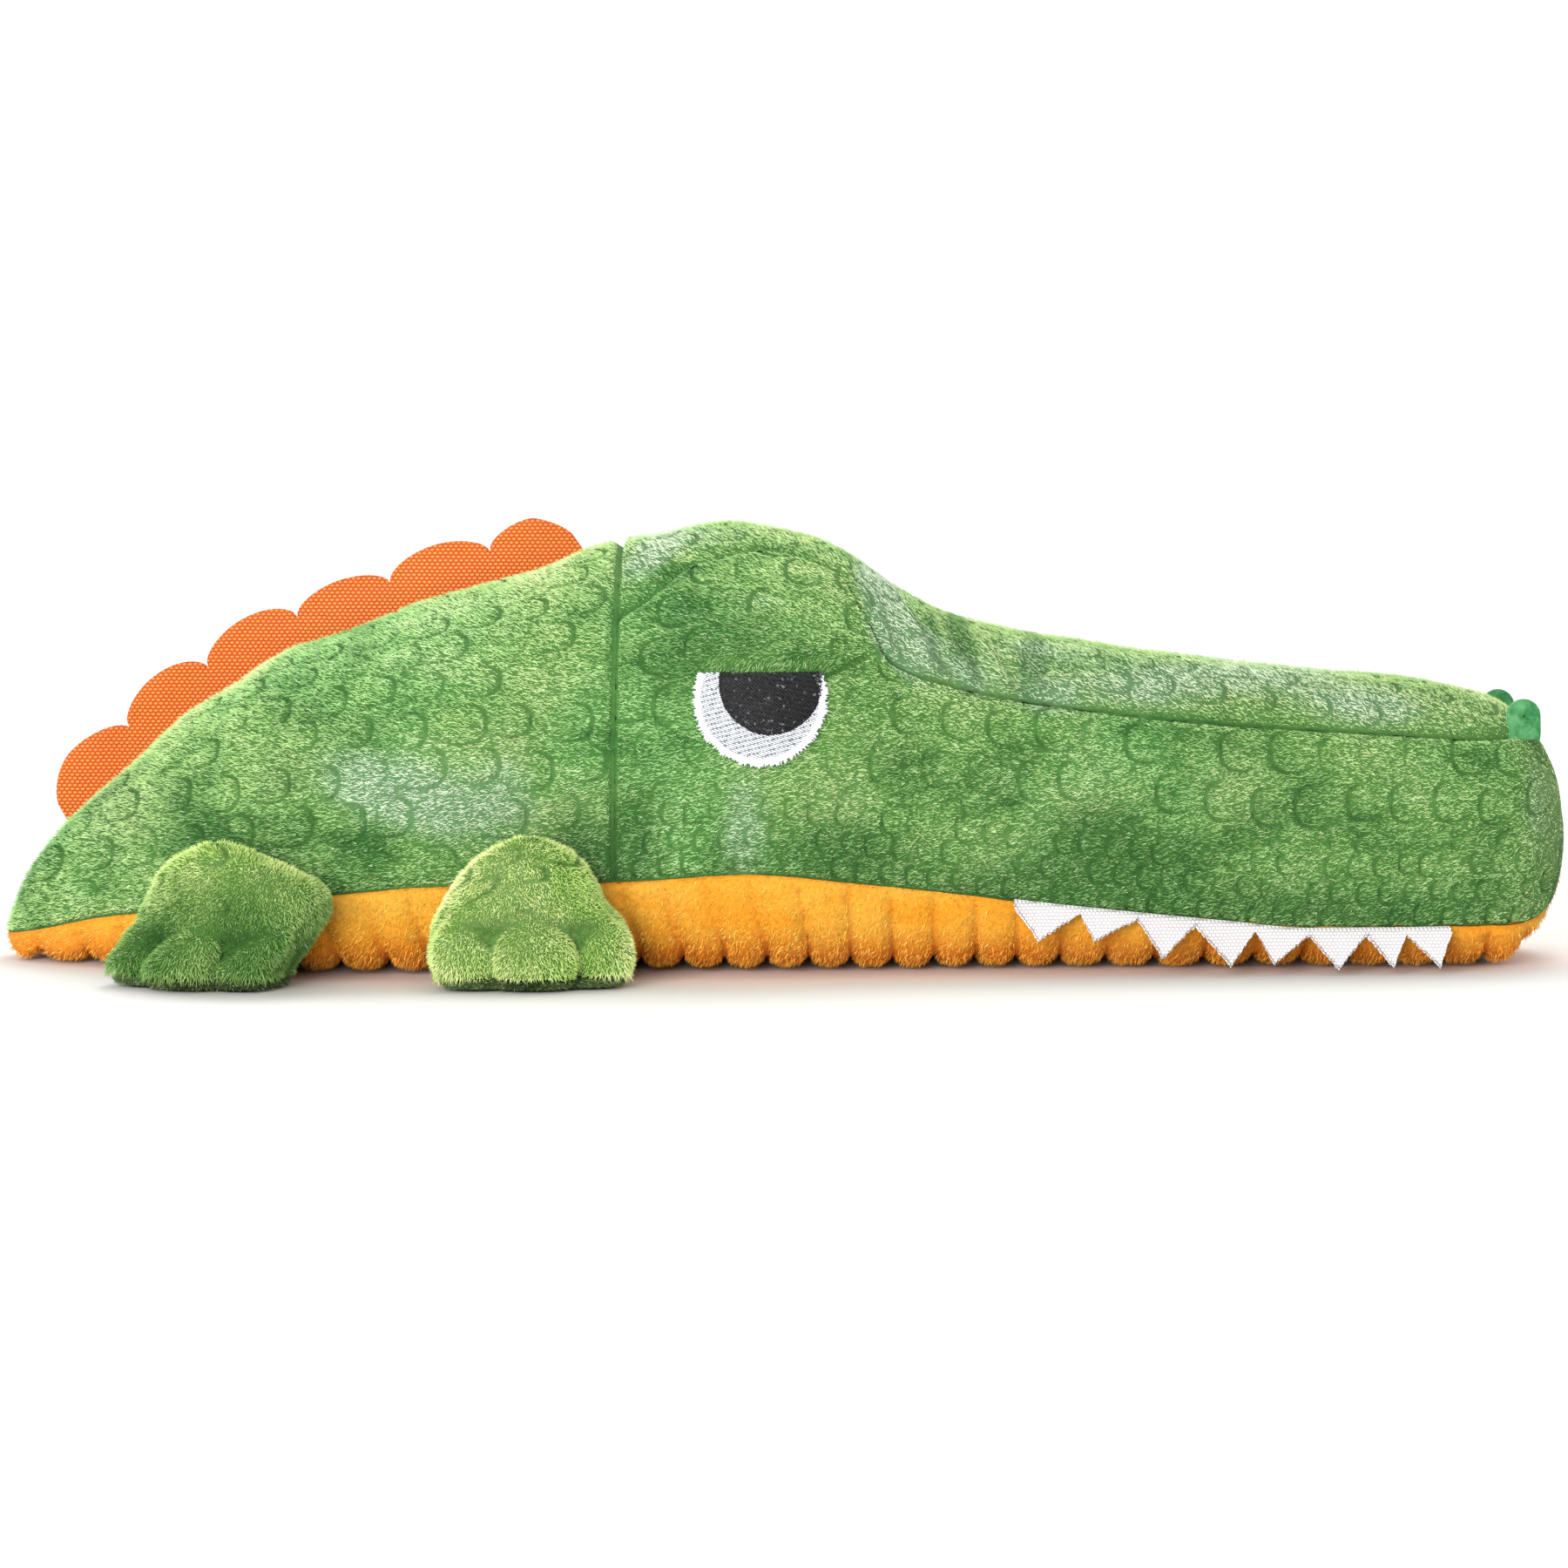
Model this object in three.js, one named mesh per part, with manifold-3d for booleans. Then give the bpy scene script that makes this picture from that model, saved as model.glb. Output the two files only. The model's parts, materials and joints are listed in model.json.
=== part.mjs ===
// A stuffed crocodile dog toy. Millimetres: +X towards the snout, +Y to the toy's left, +Z up,
// with the origin on the floor under the middle of the toy. Plush panels are sewn round a filling
// that holds a squeaker. A nylon fin stands in the back seam, woven teeth hang from the mouth
// seams, and four stuffed legs flop on the flank seams.
import * as THREE from 'three';
import { mergeVertices } from 'three/addons/utils/BufferGeometryUtils.js';
import Module from 'manifold-3d';

const wasm = await Module();
wasm.setup();

// Overall sizes of the stuffed body and head
const TOY_LENGTH = 394;
const CROWN_HEIGHT = 110.4;
const GIRTH_WIDTH = 120;

// Cloth, seams and the flat that the filled belly rests on
const PLUSH = 2.6;
const SEAM_GAP = 0.3;
const TIP_SEAM_GAP = 1;
const FILLING_GAP = 0.8;
const FLOOR_CUT = 0.5;

// Ribs of the belly cloth
const RIB_PITCH = 13.6;
const RIB_DEPTH = 1.8;

// Brow dome over each eye
const BROW_BULGE = 2.2;
const BROW_LENGTH = 26;
const BROW_RISE = 17;

// Back fin
const FIN_THICKNESS = 1.6;
const FIN_TUCK = 2;
const FIN_VALLEY = 6.5;
const FIN_PEAK = 12;

// Teeth
const TEETH_CLOTH = 1;
const TEETH_TUCK = 2;
const TEETH_GAP = 0.45;
const TEETH_STAND_OFF = 1.2;
const TOOTH_VALLEY = 0.8;
const TEETH_FLARE_DEGREES = 32;

// Eyes
const EYE_THREAD = 1;
const EYE_HEIGHT = 68.6;
const EYE_WHITE_RADIUS = 16;
const EYE_LID_RISE = 6.3;
const PUPIL_RADIUS = 12;
const PUPIL_FORWARD = 1.9;
const PUPIL_RAISE = 1.9;

// Nostrils
const NOSTRIL_FELT = 2.4;
const NOSTRIL_WIDTH = 8.4;
const NOSTRIL_RISE = 8.2;

// Legs
const LEG_PLUSH = 2.4;
const SOLE_CLOTH = 3;
const SOLE_ROUNDING = 1.6;
const TOE_CREASE = 2.2;
const LEG_SLOPE_DEGREES = 50;
const LEG_SWING_DEGREES = 30;
const LEAST_TOP = 1.5;
const frontLeg = { rootShare: 0.344, reach: 23, width: 50, height: 37.8, lean: 1 };
const rearLeg = { rootShare: 0.172, reach: 31, width: 48, height: 37.8, lean: -1 };

// Squeaker
const BULB_RADIUS = 19;
const BULB_HEIGHT = 26;
const BULB_WALL = 1.4;
const MOUTH_RADIUS = 5.5;
const REED_HEIGHT = 7;
const REED_FLANGE = 1.5;
const REED_FLANGE_RADIUS = 8;
const SQUEAKER_FLOOR = 34;
const POCKET_CLEARANCE = 0.5;

// Side view: each row is a share of the length from the tail tip, and a share of the crown height
const crownShares = [
  [0, 0.073], [0.006, 0.125], [0.016, 0.205], [0.032, 0.285], [0.057, 0.372], [0.085, 0.46],
  [0.113, 0.552], [0.141, 0.616], [0.183, 0.708], [0.225, 0.76], [0.266, 0.818], [0.308, 0.863],
  [0.35, 0.905], [0.378, 0.945], [0.396, 0.961], [0.423, 0.975], [0.448, 0.994], [0.467, 1],
  [0.489, 0.992], [0.517, 0.97], [0.545, 0.925], [0.573, 0.852], [0.6, 0.8], [0.628, 0.769],
  [0.67, 0.742], [0.726, 0.712], [0.782, 0.688], [0.838, 0.666], [0.893, 0.648], [0.921, 0.632],
  [0.946, 0.61], [0.963, 0.582], [0.975, 0.548], [0.984, 0.505], [0.992, 0.45], [0.997, 0.39],
  [1, 0.315],
];
const bottomShares = [
  [0, 0.05], [0.006, 0.022], [0.016, 0], [0.945, 0], [0.968, 0.028], [0.98, 0.072],
  [0.99, 0.135], [0.997, 0.2], [1, 0.262],
];
const flankSeamShares = [
  [0, 0.06], [0.0345, 0.086], [0.065, 0.113], [0.15, 0.158], [0.2366, 0.196], [0.28, 0.209],
  [0.4, 0.216], [0.48, 0.232], [0.556, 0.205], [0.61, 0.181], [0.651, 0.16], [0.719, 0.132],
  [0.7735, 0.112], [0.8277, 0.094], [0.882, 0.094], [0.937, 0.099], [0.967, 0.106],
  [0.985, 0.15], [1, 0.276],
];
const gussetSeamShares = [
  [0.39, 0.79], [0.411, 0.832], [0.4454, 0.915], [0.489, 0.946], [0.533, 0.903], [0.554, 0.795],
  [0.5675, 0.706], [0.608, 0.65], [0.6625, 0.611], [0.7717, 0.566], [0.826, 0.553],
  [0.882, 0.541], [0.9386, 0.529], [0.965, 0.53], [0.977, 0.503], [0.99, 0.43], [1, 0.3],
];

// Plan: each row is a share of the length, and a share of the girth width
const widthShares = [
  [0, 0.05], [0.006, 0.14], [0.016, 0.225], [0.032, 0.31], [0.057, 0.42], [0.085, 0.535],
  [0.113, 0.655], [0.145, 0.78], [0.183, 0.895], [0.222, 0.972], [0.261, 1], [0.3, 0.983],
  [0.339, 0.945], [0.378, 0.91], [0.423, 0.905], [0.489, 0.908], [0.523, 0.883], [0.556, 0.835],
  [0.59, 0.785], [0.629, 0.745], [0.696, 0.7], [0.779, 0.67], [0.863, 0.64], [0.919, 0.605],
  [0.952, 0.56], [0.972, 0.49], [0.984, 0.395], [0.993, 0.28], [0.9975, 0.17], [1, 0.07],
];

// How square the section is above its widest line, and below it; 2 is an ellipse
const squarenessShares = [
  [0, 2], [0.2, 2.1], [0.5, 2.15], [0.6, 2.5], [0.75, 2.8], [0.95, 2.8], [1, 2.2],
];
const bellySquarenessShare = 4;
const widestShare = 0.43;
const tipShare = 0.75;

// Places along the length, as shares of it
const neckShare = 0.396;
const browShare = 0.492;
const browRiseShare = 0.8;
const eyeShare = 0.4855;
const lidHoleShare = 0.9;
const nostrilShare = 0.965;
const finArchShares = [0.0405, 0.0925, 0.1405, 0.1945, 0.2545, 0.3165, 0.371];
const toothValleyShares = [0.6424, 0.6835, 0.7188, 0.7556, 0.7924, 0.8272, 0.8612, 0.8878, 0.9155];
const toothTipShares = [0.6566, 0.6924, 0.7335, 0.7766, 0.8033, 0.8434, 0.8787, 0.9074];
const TOOTH_LENGTHS = [9.2, 8, 10.6, 11, 9.2, 10, 9.8, 9.8];

// The fin and the teeth pass through their seams, so these stand wider along them
const finSlotShares = [0.02, 0.385];
const teethSlotShares = [0.62, 0.937];
const snoutTipShares = [0.95, 1];

// Where the filling starts, where its first two lots meet at the squeaker, and where it ends
const fillingStationShares = [0.023, 0.31, 0.966];

// A leg's outline by height: share of its height, then shares of its reach, width and toe crease
const legReachShares = [
  [0, 0.86], [0.1, 0.93], [0.28, 1], [0.5, 0.985], [0.7, 0.95], [0.85, 0.9], [1, 0.82],
];
const legWidthShares = [
  [0, 0.86], [0.1, 0.95], [0.25, 1], [0.42, 0.94], [0.6, 0.8], [0.8, 0.61], [0.92, 0.44], [1, 0.26],
];
const toeCreaseShares = [[0, 0.6], [0.15, 1], [0.4, 0.7], [0.62, 0]];
const coverRingShares = [0, 0.12, 0.25, 0.4, 0.55, 0.7, 0.84, 0.95, 1];
const fillingRingShares = [0, 0.2, 0.45, 0.7, 0.9, 1];
const hingeSpanShare = 1 / 3;
const TOE_DEGREES = 52;
const coverDegrees = [0, 13, 26, 39, 52, 65, 78, 105, 140, 180];
const fillingDegrees = [0, 26, 52, 78, 105, 140, 180];

// Points closer than this are one point
const WELD_DISTANCE = 1e-4;

// Counts of faces along and round the panels
const OUTLINE_STEPS = 120;
const RINGS_PER_RIB = 3;
const TIP_RIBS = 3;
const BELLY_COLUMNS = 4;
const BACK_COLUMNS = 4;
const HEAD_SIDE_COLUMNS = 4;
const HEAD_TOP_COLUMNS = 2;
const FIN_STEPS = 7;
const EYE_STEPS = 14;
const NOSTRIL_STEPS = 10;
const BULB_STEPS = 8;
const BULB_TURNS = 18;
const SWING_STEPS = 12;
const backStationShares = [
  0, 0.0115, 0.023, 0.0345, 0.0575, 0.09, 0.126, 0.17, 0.215, 0.264, 0.31, 0.345, 0.379,
];
const headStationShares = [
  0.43, 0.46, 0.49, 0.517, 0.54, 0.5635, 0.5865, 0.62, 0.655, 0.69, 0.724, 0.759, 0.793,
  0.828, 0.862, 0.897, 0.92, 0.943, 0.954, 0.966, 0.977, 0.989, 1,
];

// Colours, as the toy shows them
const materials = {
  plush: new THREE.MeshStandardMaterial({ color: 0x5f9e4c, roughness: 0.95, metalness: 0 }),
  darkPlush: new THREE.MeshStandardMaterial({ color: 0x3f7d3e, roughness: 0.95, metalness: 0 }),
  legPlush: new THREE.MeshStandardMaterial({ color: 0x67a84c, roughness: 0.95, metalness: 0 }),
  belly: new THREE.MeshStandardMaterial({ color: 0xf2a126, roughness: 0.95, metalness: 0 }),
  nylon: new THREE.MeshStandardMaterial({ color: 0xf0641e, roughness: 0.6, metalness: 0 }),
  teeth: new THREE.MeshStandardMaterial({ color: 0xf2eef0, roughness: 0.75, metalness: 0 }),
  whiteThread: new THREE.MeshStandardMaterial({ color: 0xe9edf0, roughness: 0.45, metalness: 0 }),
  blackThread: new THREE.MeshStandardMaterial({ color: 0x1c1c20, roughness: 0.4, metalness: 0 }),
  felt: new THREE.MeshStandardMaterial({ color: 0x2f8a52, roughness: 1, metalness: 0 }),
  filling: new THREE.MeshStandardMaterial({ color: 0xf4f4f0, roughness: 1, metalness: 0 }),
  squeaker: new THREE.MeshStandardMaterial({ color: 0xe6e2d4, roughness: 0.5, metalness: 0 }),
  reed: new THREE.MeshStandardMaterial({ color: 0xd8d8d8, roughness: 0.4, metalness: 0 }),
};

// A smooth curve through a table's rows that never swings past them
function follow(table, share) {
  const last = table.length - 1;
  if (share <= table[0][0]) return table[0][1];
  if (share >= table[last][0]) return table[last][1];
  const slope = i => (table[i + 1][1] - table[i][1]) / (table[i + 1][0] - table[i][0]);
  const turn = i => {
    if (i === 0) return slope(0);
    if (i === last) return slope(last - 1);
    const [before, after] = [slope(i - 1), slope(i)];
    return before * after <= 0 ? 0 : (2 * before * after) / (before + after);
  };
  const i = table.findIndex(row => row[0] > share) - 1;
  const step = table[i + 1][0] - table[i][0];
  const t = (share - table[i][0]) / step;
  const rest = 1 - t;
  return rest * rest * (1 + 2 * t) * table[i][1] + t * t * (3 - 2 * t) * table[i + 1][1]
    + rest * rest * t * step * turn(i) - t * t * rest * step * turn(i + 1);
}

const mix = (a, b, t) => a + (b - a) * t;
const spread = (low, high, count) => Array.from({ length: count + 1 }, (_, i) => mix(low, high, i / count));
const radians = THREE.MathUtils.degToRad;
const alongAxis = new THREE.Vector3(1, 0, 0);
const upAxis = new THREE.Vector3(0, 0, 1);

const alongAt = (share, inset = 0) => (share - 1 / 2) * (TOY_LENGTH - 2 * inset);

function browBulge(share, z) {
  const along = (share - browShare) * TOY_LENGTH / BROW_LENGTH;
  const up = (z - browRiseShare * CROWN_HEIGHT) / BROW_RISE;
  return BROW_BULGE * Math.exp(-along * along - up * up);
}

// Half of the section at one place along the length, from the belly's middle to the crown,
// measured along its outline. A girth is a share of that length: 0 is the belly's middle and 1
// is the crown. A negative girth lies on the toy's right.
const sections = new Map();
function sectionAt(share) {
  if (sections.has(share)) return sections.get(share);
  const crown = follow(crownShares, share) * CROWN_HEIGHT;
  const bottom = follow(bottomShares, share) * CROWN_HEIGHT - FLOOR_CUT;
  const half = follow(widthShares, share) * GIRTH_WIDTH / 2;
  const widest = mix(bottom, crown, widestShare);
  const points = spread(-Math.PI / 2, Math.PI / 2, OUTLINE_STEPS).map((angle, i) => {
    const squareness = angle > 0 ? follow(squarenessShares, share) : bellySquarenessShare;
    const across = i % OUTLINE_STEPS === 0 ? 0 : Math.cos(angle) ** (2 / squareness);
    const up = Math.abs(Math.sin(angle)) ** (2 / squareness);
    const z = mix(widest, angle > 0 ? crown : bottom, up);
    return new THREE.Vector2((half + browBulge(share, z)) * across, Math.max(z, 0));
  });
  const lengths = [0];
  for (let i = 1; i < points.length; i++) lengths.push(lengths[i - 1] + points[i].distanceTo(points[i - 1]));
  const total = lengths[points.length - 1];
  const thickest = Math.min(half, (crown - bottom) / 2) * tipShare;
  const section = { points, lengths, total, thickest };
  sections.set(share, section);
  return section;
}

// A point on the outline; just past its ends it runs on round the other side
function outlinePoint(section, girth) {
  const folded = girth > 1 ? 2 - girth : Math.abs(girth);
  const length = folded * section.total;
  const i = Math.max(section.lengths.findIndex(l => l >= length), 1);
  const t = (length - section.lengths[i - 1]) / (section.lengths[i] - section.lengths[i - 1]);
  const point = section.points[i - 1].clone().lerp(section.points[i], t);
  return girth < 0 || girth > 1 ? point.set(-point.x, point.y) : point;
}

// A point on the body, or under its surface by an inset, which the thin tips limit
function place(share, girth, inset = 0) {
  const section = sectionAt(share);
  const turned = Math.abs(girth);
  const ahead = outlinePoint(section, turned + 1 / OUTLINE_STEPS);
  const run = ahead.sub(outlinePoint(section, turned - 1 / OUTLINE_STEPS)).normalize();
  const depth = Math.min(inset, section.thickest);
  const point = outlinePoint(section, turned).add(new THREE.Vector2(-run.y, run.x).multiplyScalar(depth));
  return new THREE.Vector3(alongAt(share, inset), point.x * (girth < 0 ? -1 : 1), point.y);
}

// The girth at which an outline first climbs past a height
function girthAtHeight(share, height) {
  const { points, lengths, total } = sectionAt(share);
  const i = Math.max(points.findIndex(p => p.y >= height), 1);
  const t = (height - points[i - 1].y) / (points[i].y - points[i - 1].y);
  return mix(lengths[i - 1], lengths[i], t) / total;
}

// Seam lines as girths
const within = (share, [from, to]) => share >= from && share <= to;
const flankSeam = share => girthAtHeight(share, follow(flankSeamShares, share) * CROWN_HEIGHT);
const gussetSeam = share => girthAtHeight(share, follow(gussetSeamShares, share) * CROWN_HEIGHT);
const asGirth = (share, length) => length / sectionAt(share).total;
const seamGap = share => asGirth(share, (within(share, snoutTipShares) ? TIP_SEAM_GAP : SEAM_GAP) / 2);
const flankGap = share => (within(share, teethSlotShares)
  ? asGirth(share, TEETH_CLOTH / 2 + TEETH_GAP) : seamGap(share));
const backGap = share => (within(share, finSlotShares)
  ? asGirth(share, FIN_THICKNESS / 2 + SEAM_GAP) : seamGap(share));

// Rows of points along the toy, each across a panel
function grid(shares, girths, inset = 0, dent = () => 0) {
  return shares.map(share => girths(share).map(girth => {
    const point = place(share, girth, inset);
    const middle = Math.max(point.z, follow(crownShares, share) * CROWN_HEIGHT / 2);
    const inward = new THREE.Vector3(point.x, 0, middle).sub(point).normalize();
    return point.addScaledVector(inward, dent(share, girth));
  }));
}

// Collects triangles, merges what they share and turns the whole so that it faces out
class Surface {
  corners = [];

  triangle(a, b, c) {
    this.corners.push(a, b, c);
  }

  quads(rows, flip, closed = false) {
    const count = closed ? rows[0].length : rows[0].length - 1;
    for (let i = 0; i < rows.length - 1; i++) {
      for (let j = 0; j < count; j++) {
        const k = (j + 1) % rows[0].length;
        const corners = [rows[i][j], rows[i + 1][j], rows[i + 1][k], rows[i][k]];
        const kept = corners[0].distanceTo(corners[2]);
        if (corners[1].distanceTo(corners[3]) < kept) corners.push(corners.shift());
        if (flip) corners.reverse();
        const first = flip ? 1 : 0;
        this.triangle(corners[first], corners[first + 1], corners[(first + 2) % 4]);
        this.triangle(corners[first], corners[(first + 2) % 4], corners[(first + 3) % 4]);
      }
    }
  }

  // Joins two lines of points that run the same way, each time by the shorter link
  zip(outer, inner) {
    let [i, j] = [0, 0];
    const link = (k, l) => (k < outer.length && l < inner.length ? outer[k].distanceTo(inner[l]) : Infinity);
    while (i < outer.length - 1 || j < inner.length - 1) {
      if (link(i + 1, j) <= link(i, j + 1)) {
        this.triangle(outer[i], outer[i + 1], inner[j]);
        i++;
      } else {
        this.triangle(outer[i], inner[j + 1], inner[j]);
        j++;
      }
    }
  }

  fan(ring, apex, flip) {
    ring.forEach((point, i) => {
      const next = ring[(i + 1) % ring.length];
      if (flip) this.triangle(next, point, apex);
      else this.triangle(point, next, apex);
    });
  }

  geometry() {
    const raw = new THREE.BufferGeometry().setFromPoints(this.corners);
    const merged = mergeVertices(raw, WELD_DISTANCE);
    const index = [];
    const at = merged.getIndex();
    for (let i = 0; i < at.count; i += 3) {
      const [a, b, c] = [at.getX(i), at.getX(i + 1), at.getX(i + 2)];
      if (a !== b && b !== c && c !== a) index.push(a, b, c);
    }
    merged.setIndex(index);
    return facingOut(merged);
  }
}

function facingOut(geometry) {
  const position = geometry.getAttribute('position');
  const at = geometry.getIndex().array;
  const [a, b, c] = [new THREE.Vector3(), new THREE.Vector3(), new THREE.Vector3()];
  let volume = 0;
  for (let i = 0; i < at.length; i += 3) {
    [a, b, c].forEach((corner, k) => corner.fromBufferAttribute(position, at[i + k]));
    volume += a.dot(b.cross(c));
  }
  if (volume < 0) {
    const turned = [];
    for (let i = 0; i < at.length; i += 3) turned.push(at[i], at[i + 2], at[i + 1]);
    geometry.setIndex(turned);
  }
  return geometry;
}

// The outline of a grid as four lines that run on from one another
function sides(rows) {
  const last = rows.length - 1;
  return [
    rows[0],
    rows.map(row => row[row.length - 1]),
    [...rows[last]].reverse(),
    rows.map(row => row[0]).reverse(),
  ];
}

// A sewn panel: its outer face, its inner face and the cut edge between them
function panel(outer, inner) {
  const surface = new Surface();
  surface.quads(outer, false);
  surface.quads(inner, true);
  const innerSides = sides(inner);
  sides(outer).forEach((side, i) => surface.zip(side, innerSides[i]));
  return surface.geometry();
}

const centreOf = ring => ring.reduce((sum, p) => sum.add(p), new THREE.Vector3()).divideScalar(ring.length);

// A filled form through closed rings, shut at both ends
function pillow(rings) {
  const surface = new Surface();
  surface.quads(rings, false, true);
  surface.fan(rings[0], centreOf(rings[0]), false);
  surface.fan(rings[rings.length - 1], centreOf(rings[rings.length - 1]), true);
  return surface.geometry();
}

// A stuffed cover through closed rings: shut at the last ring, open at the first
function cover(outer, inner) {
  const surface = new Surface();
  surface.quads(outer, false, true);
  surface.quads(inner, true, true);
  surface.fan(outer[outer.length - 1], centreOf(outer[outer.length - 1]), true);
  surface.fan(inner[inner.length - 1], centreOf(inner[inner.length - 1]), false);
  surface.zip([...outer[0], outer[0][0]], [...inner[0], inner[0][0]]);
  return surface.geometry();
}

function solid(geometry) {
  const bare = new THREE.BufferGeometry();
  bare.setAttribute('position', geometry.getAttribute('position').clone());
  if (geometry.getIndex()) bare.setIndex(geometry.getIndex().clone());
  const merged = mergeVertices(bare, WELD_DISTANCE);
  return new wasm.Manifold(new wasm.Mesh({
    numProp: 3,
    vertProperties: merged.getAttribute('position').array,
    triVerts: new Uint32Array(merged.getIndex().array),
  }));
}

function geometryOf(manifold) {
  const { vertProperties, triVerts } = manifold.getMesh();
  const geometry = new THREE.BufferGeometry();
  geometry.setAttribute('position', new THREE.BufferAttribute(vertProperties, 3));
  geometry.setIndex(new THREE.BufferAttribute(triVerts, 1));
  return geometry;
}

const toy = new THREE.Group();

function add(name, geometry, material, group = toy) {
  const mesh = new THREE.Mesh(geometry, material);
  mesh.name = name;
  group.add(mesh);
  return mesh;
}

// Makes a piece on the toy's right, and its twin on the left
function addPair(name, geometry, material) {
  add(`${name}_right`, geometry, material);
  const twin = geometry.clone().scale(1, -1, 1);
  add(`${name}_left`, facingOut(twin), material);
}

// Side panels bend only where the belly panel has a ring, so that their edges stay together
const ribCount = Math.round(TOY_LENGTH / RIB_PITCH);
const beltRings = ribCount * RINGS_PER_RIB;
const onRings = shares => [...new Set(shares.map(share => Math.round(share * beltRings) / beltRings))];
const [fillingStartShare, squeakerShare, fillingEndShare] = onRings(fillingStationShares);
const neckGapShare = SEAM_GAP / 2 / TOY_LENGTH;
const backStations = [...onRings(backStationShares), neckShare - neckGapShare];
const headStations = [neckShare + neckGapShare, ...onRings(headStationShares)];

// The belly panel is ribbed outside. Its lining has a ring for each groove, and every ring near the tips.
function bellyPanel() {
  const groove = share => Math.max(2 * Math.abs(Math.cos(Math.PI * share * ribCount)) - 1, 0);
  const edge = share => flankSeam(share) - flankGap(share);
  const girths = share => spread(-edge(share), edge(share), 2 * BELLY_COLUMNS);
  const fade = (share, girth) => Math.min(1, (1 - Math.abs(girth) / edge(share)) * BELLY_COLUMNS);
  const dent = (share, girth) => RIB_DEPTH * groove(share) * fade(share, girth);
  const rings = spread(0, 1, beltRings);
  const nearTip = i => Math.min(i, beltRings - i) <= TIP_RIBS * RINGS_PER_RIB;
  const lining = rings.filter((_, i) => i % RINGS_PER_RIB === 0 || nearTip(i));
  return panel(grid(rings, girths, 0, dent), grid(lining, girths, PLUSH));
}

function rightPanel(stations, low, high, columns) {
  const girths = share => spread(-low(share), -high(share), columns);
  return panel(grid(stations, girths), grid(stations, girths, PLUSH));
}

const backPanel = () => rightPanel(
  backStations,
  share => flankSeam(share) + flankGap(share),
  share => 1 - backGap(share),
  BACK_COLUMNS,
);

const headSide = () => rightPanel(
  headStations,
  share => flankSeam(share) + flankGap(share),
  share => gussetSeam(share) - seamGap(share),
  HEAD_SIDE_COLUMNS,
);

// The top panel's girths run from one gusset seam over the crown to the other
function headTopPanel() {
  const girths = share => {
    const half = spread(gussetSeam(share) + seamGap(share), 1, HEAD_TOP_COLUMNS);
    return [...half.map(girth => -girth), ...half.reverse().slice(1)];
  };
  return panel(grid(headStations, girths), grid(headStations, girths, PLUSH));
}

// Points right round a section, from half of its girths
const roundGirths = half => [...half, ...half.slice(1, -1).reverse().map(girth => -girth)];

const bodyGirths = share => roundGirths([
  ...spread(0, flankSeam(share), BELLY_COLUMNS),
  ...spread(flankSeam(share), 1, BACK_COLUMNS).slice(1),
]);
const headGirths = share => roundGirths([
  ...spread(0, flankSeam(share), BELLY_COLUMNS),
  ...spread(flankSeam(share), gussetSeam(share), HEAD_SIDE_COLUMNS).slice(1),
  ...spread(gussetSeam(share), 1, HEAD_TOP_COLUMNS).slice(1),
]);

// The head's outer form, grown or shrunk by an even distance
const headForm = inset => solid(pillow(grid(headStations, headGirths, inset)));

// The fin's outline stands square to the back, one arch after another
function backFin() {
  const backPoint = share => new THREE.Vector2(alongAt(share), follow(crownShares, share) * CROWN_HEIGHT);
  const first = finArchShares[0];
  const last = finArchShares[finArchShares.length - 1];
  const finStepShare = (last - first) / FIN_STEPS / finArchShares.length;
  const standing = (share, height) => {
    const ahead = backPoint(share + finStepShare).sub(backPoint(share - finStepShare)).normalize();
    return backPoint(share).add(new THREE.Vector2(-ahead.y, ahead.x).multiplyScalar(height));
  };
  const outline = [];
  for (let arch = 0; arch < finArchShares.length - 1; arch++) {
    for (let step = 0; step < FIN_STEPS; step++) {
      const part = step / FIN_STEPS;
      const share = mix(finArchShares[arch], finArchShares[arch + 1], part);
      const round = Math.sqrt(Math.sin(Math.PI * part));
      const start = arch === 0 && step === 0 ? 0 : FIN_VALLEY;
      outline.push(standing(share, mix(start, FIN_PEAK, round)));
    }
  }
  outline.push(standing(last, 0));
  spread(last, first, 2 * FIN_STEPS).forEach(share => outline.push(standing(share, -FIN_TUCK)));
  const flat = new THREE.ExtrudeGeometry(new THREE.Shape(outline), {
    depth: FIN_THICKNESS, bevelEnabled: false,
  });
  return flat.rotateX(Math.PI / 2).translate(0, FIN_THICKNESS / 2, 0);
}

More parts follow.
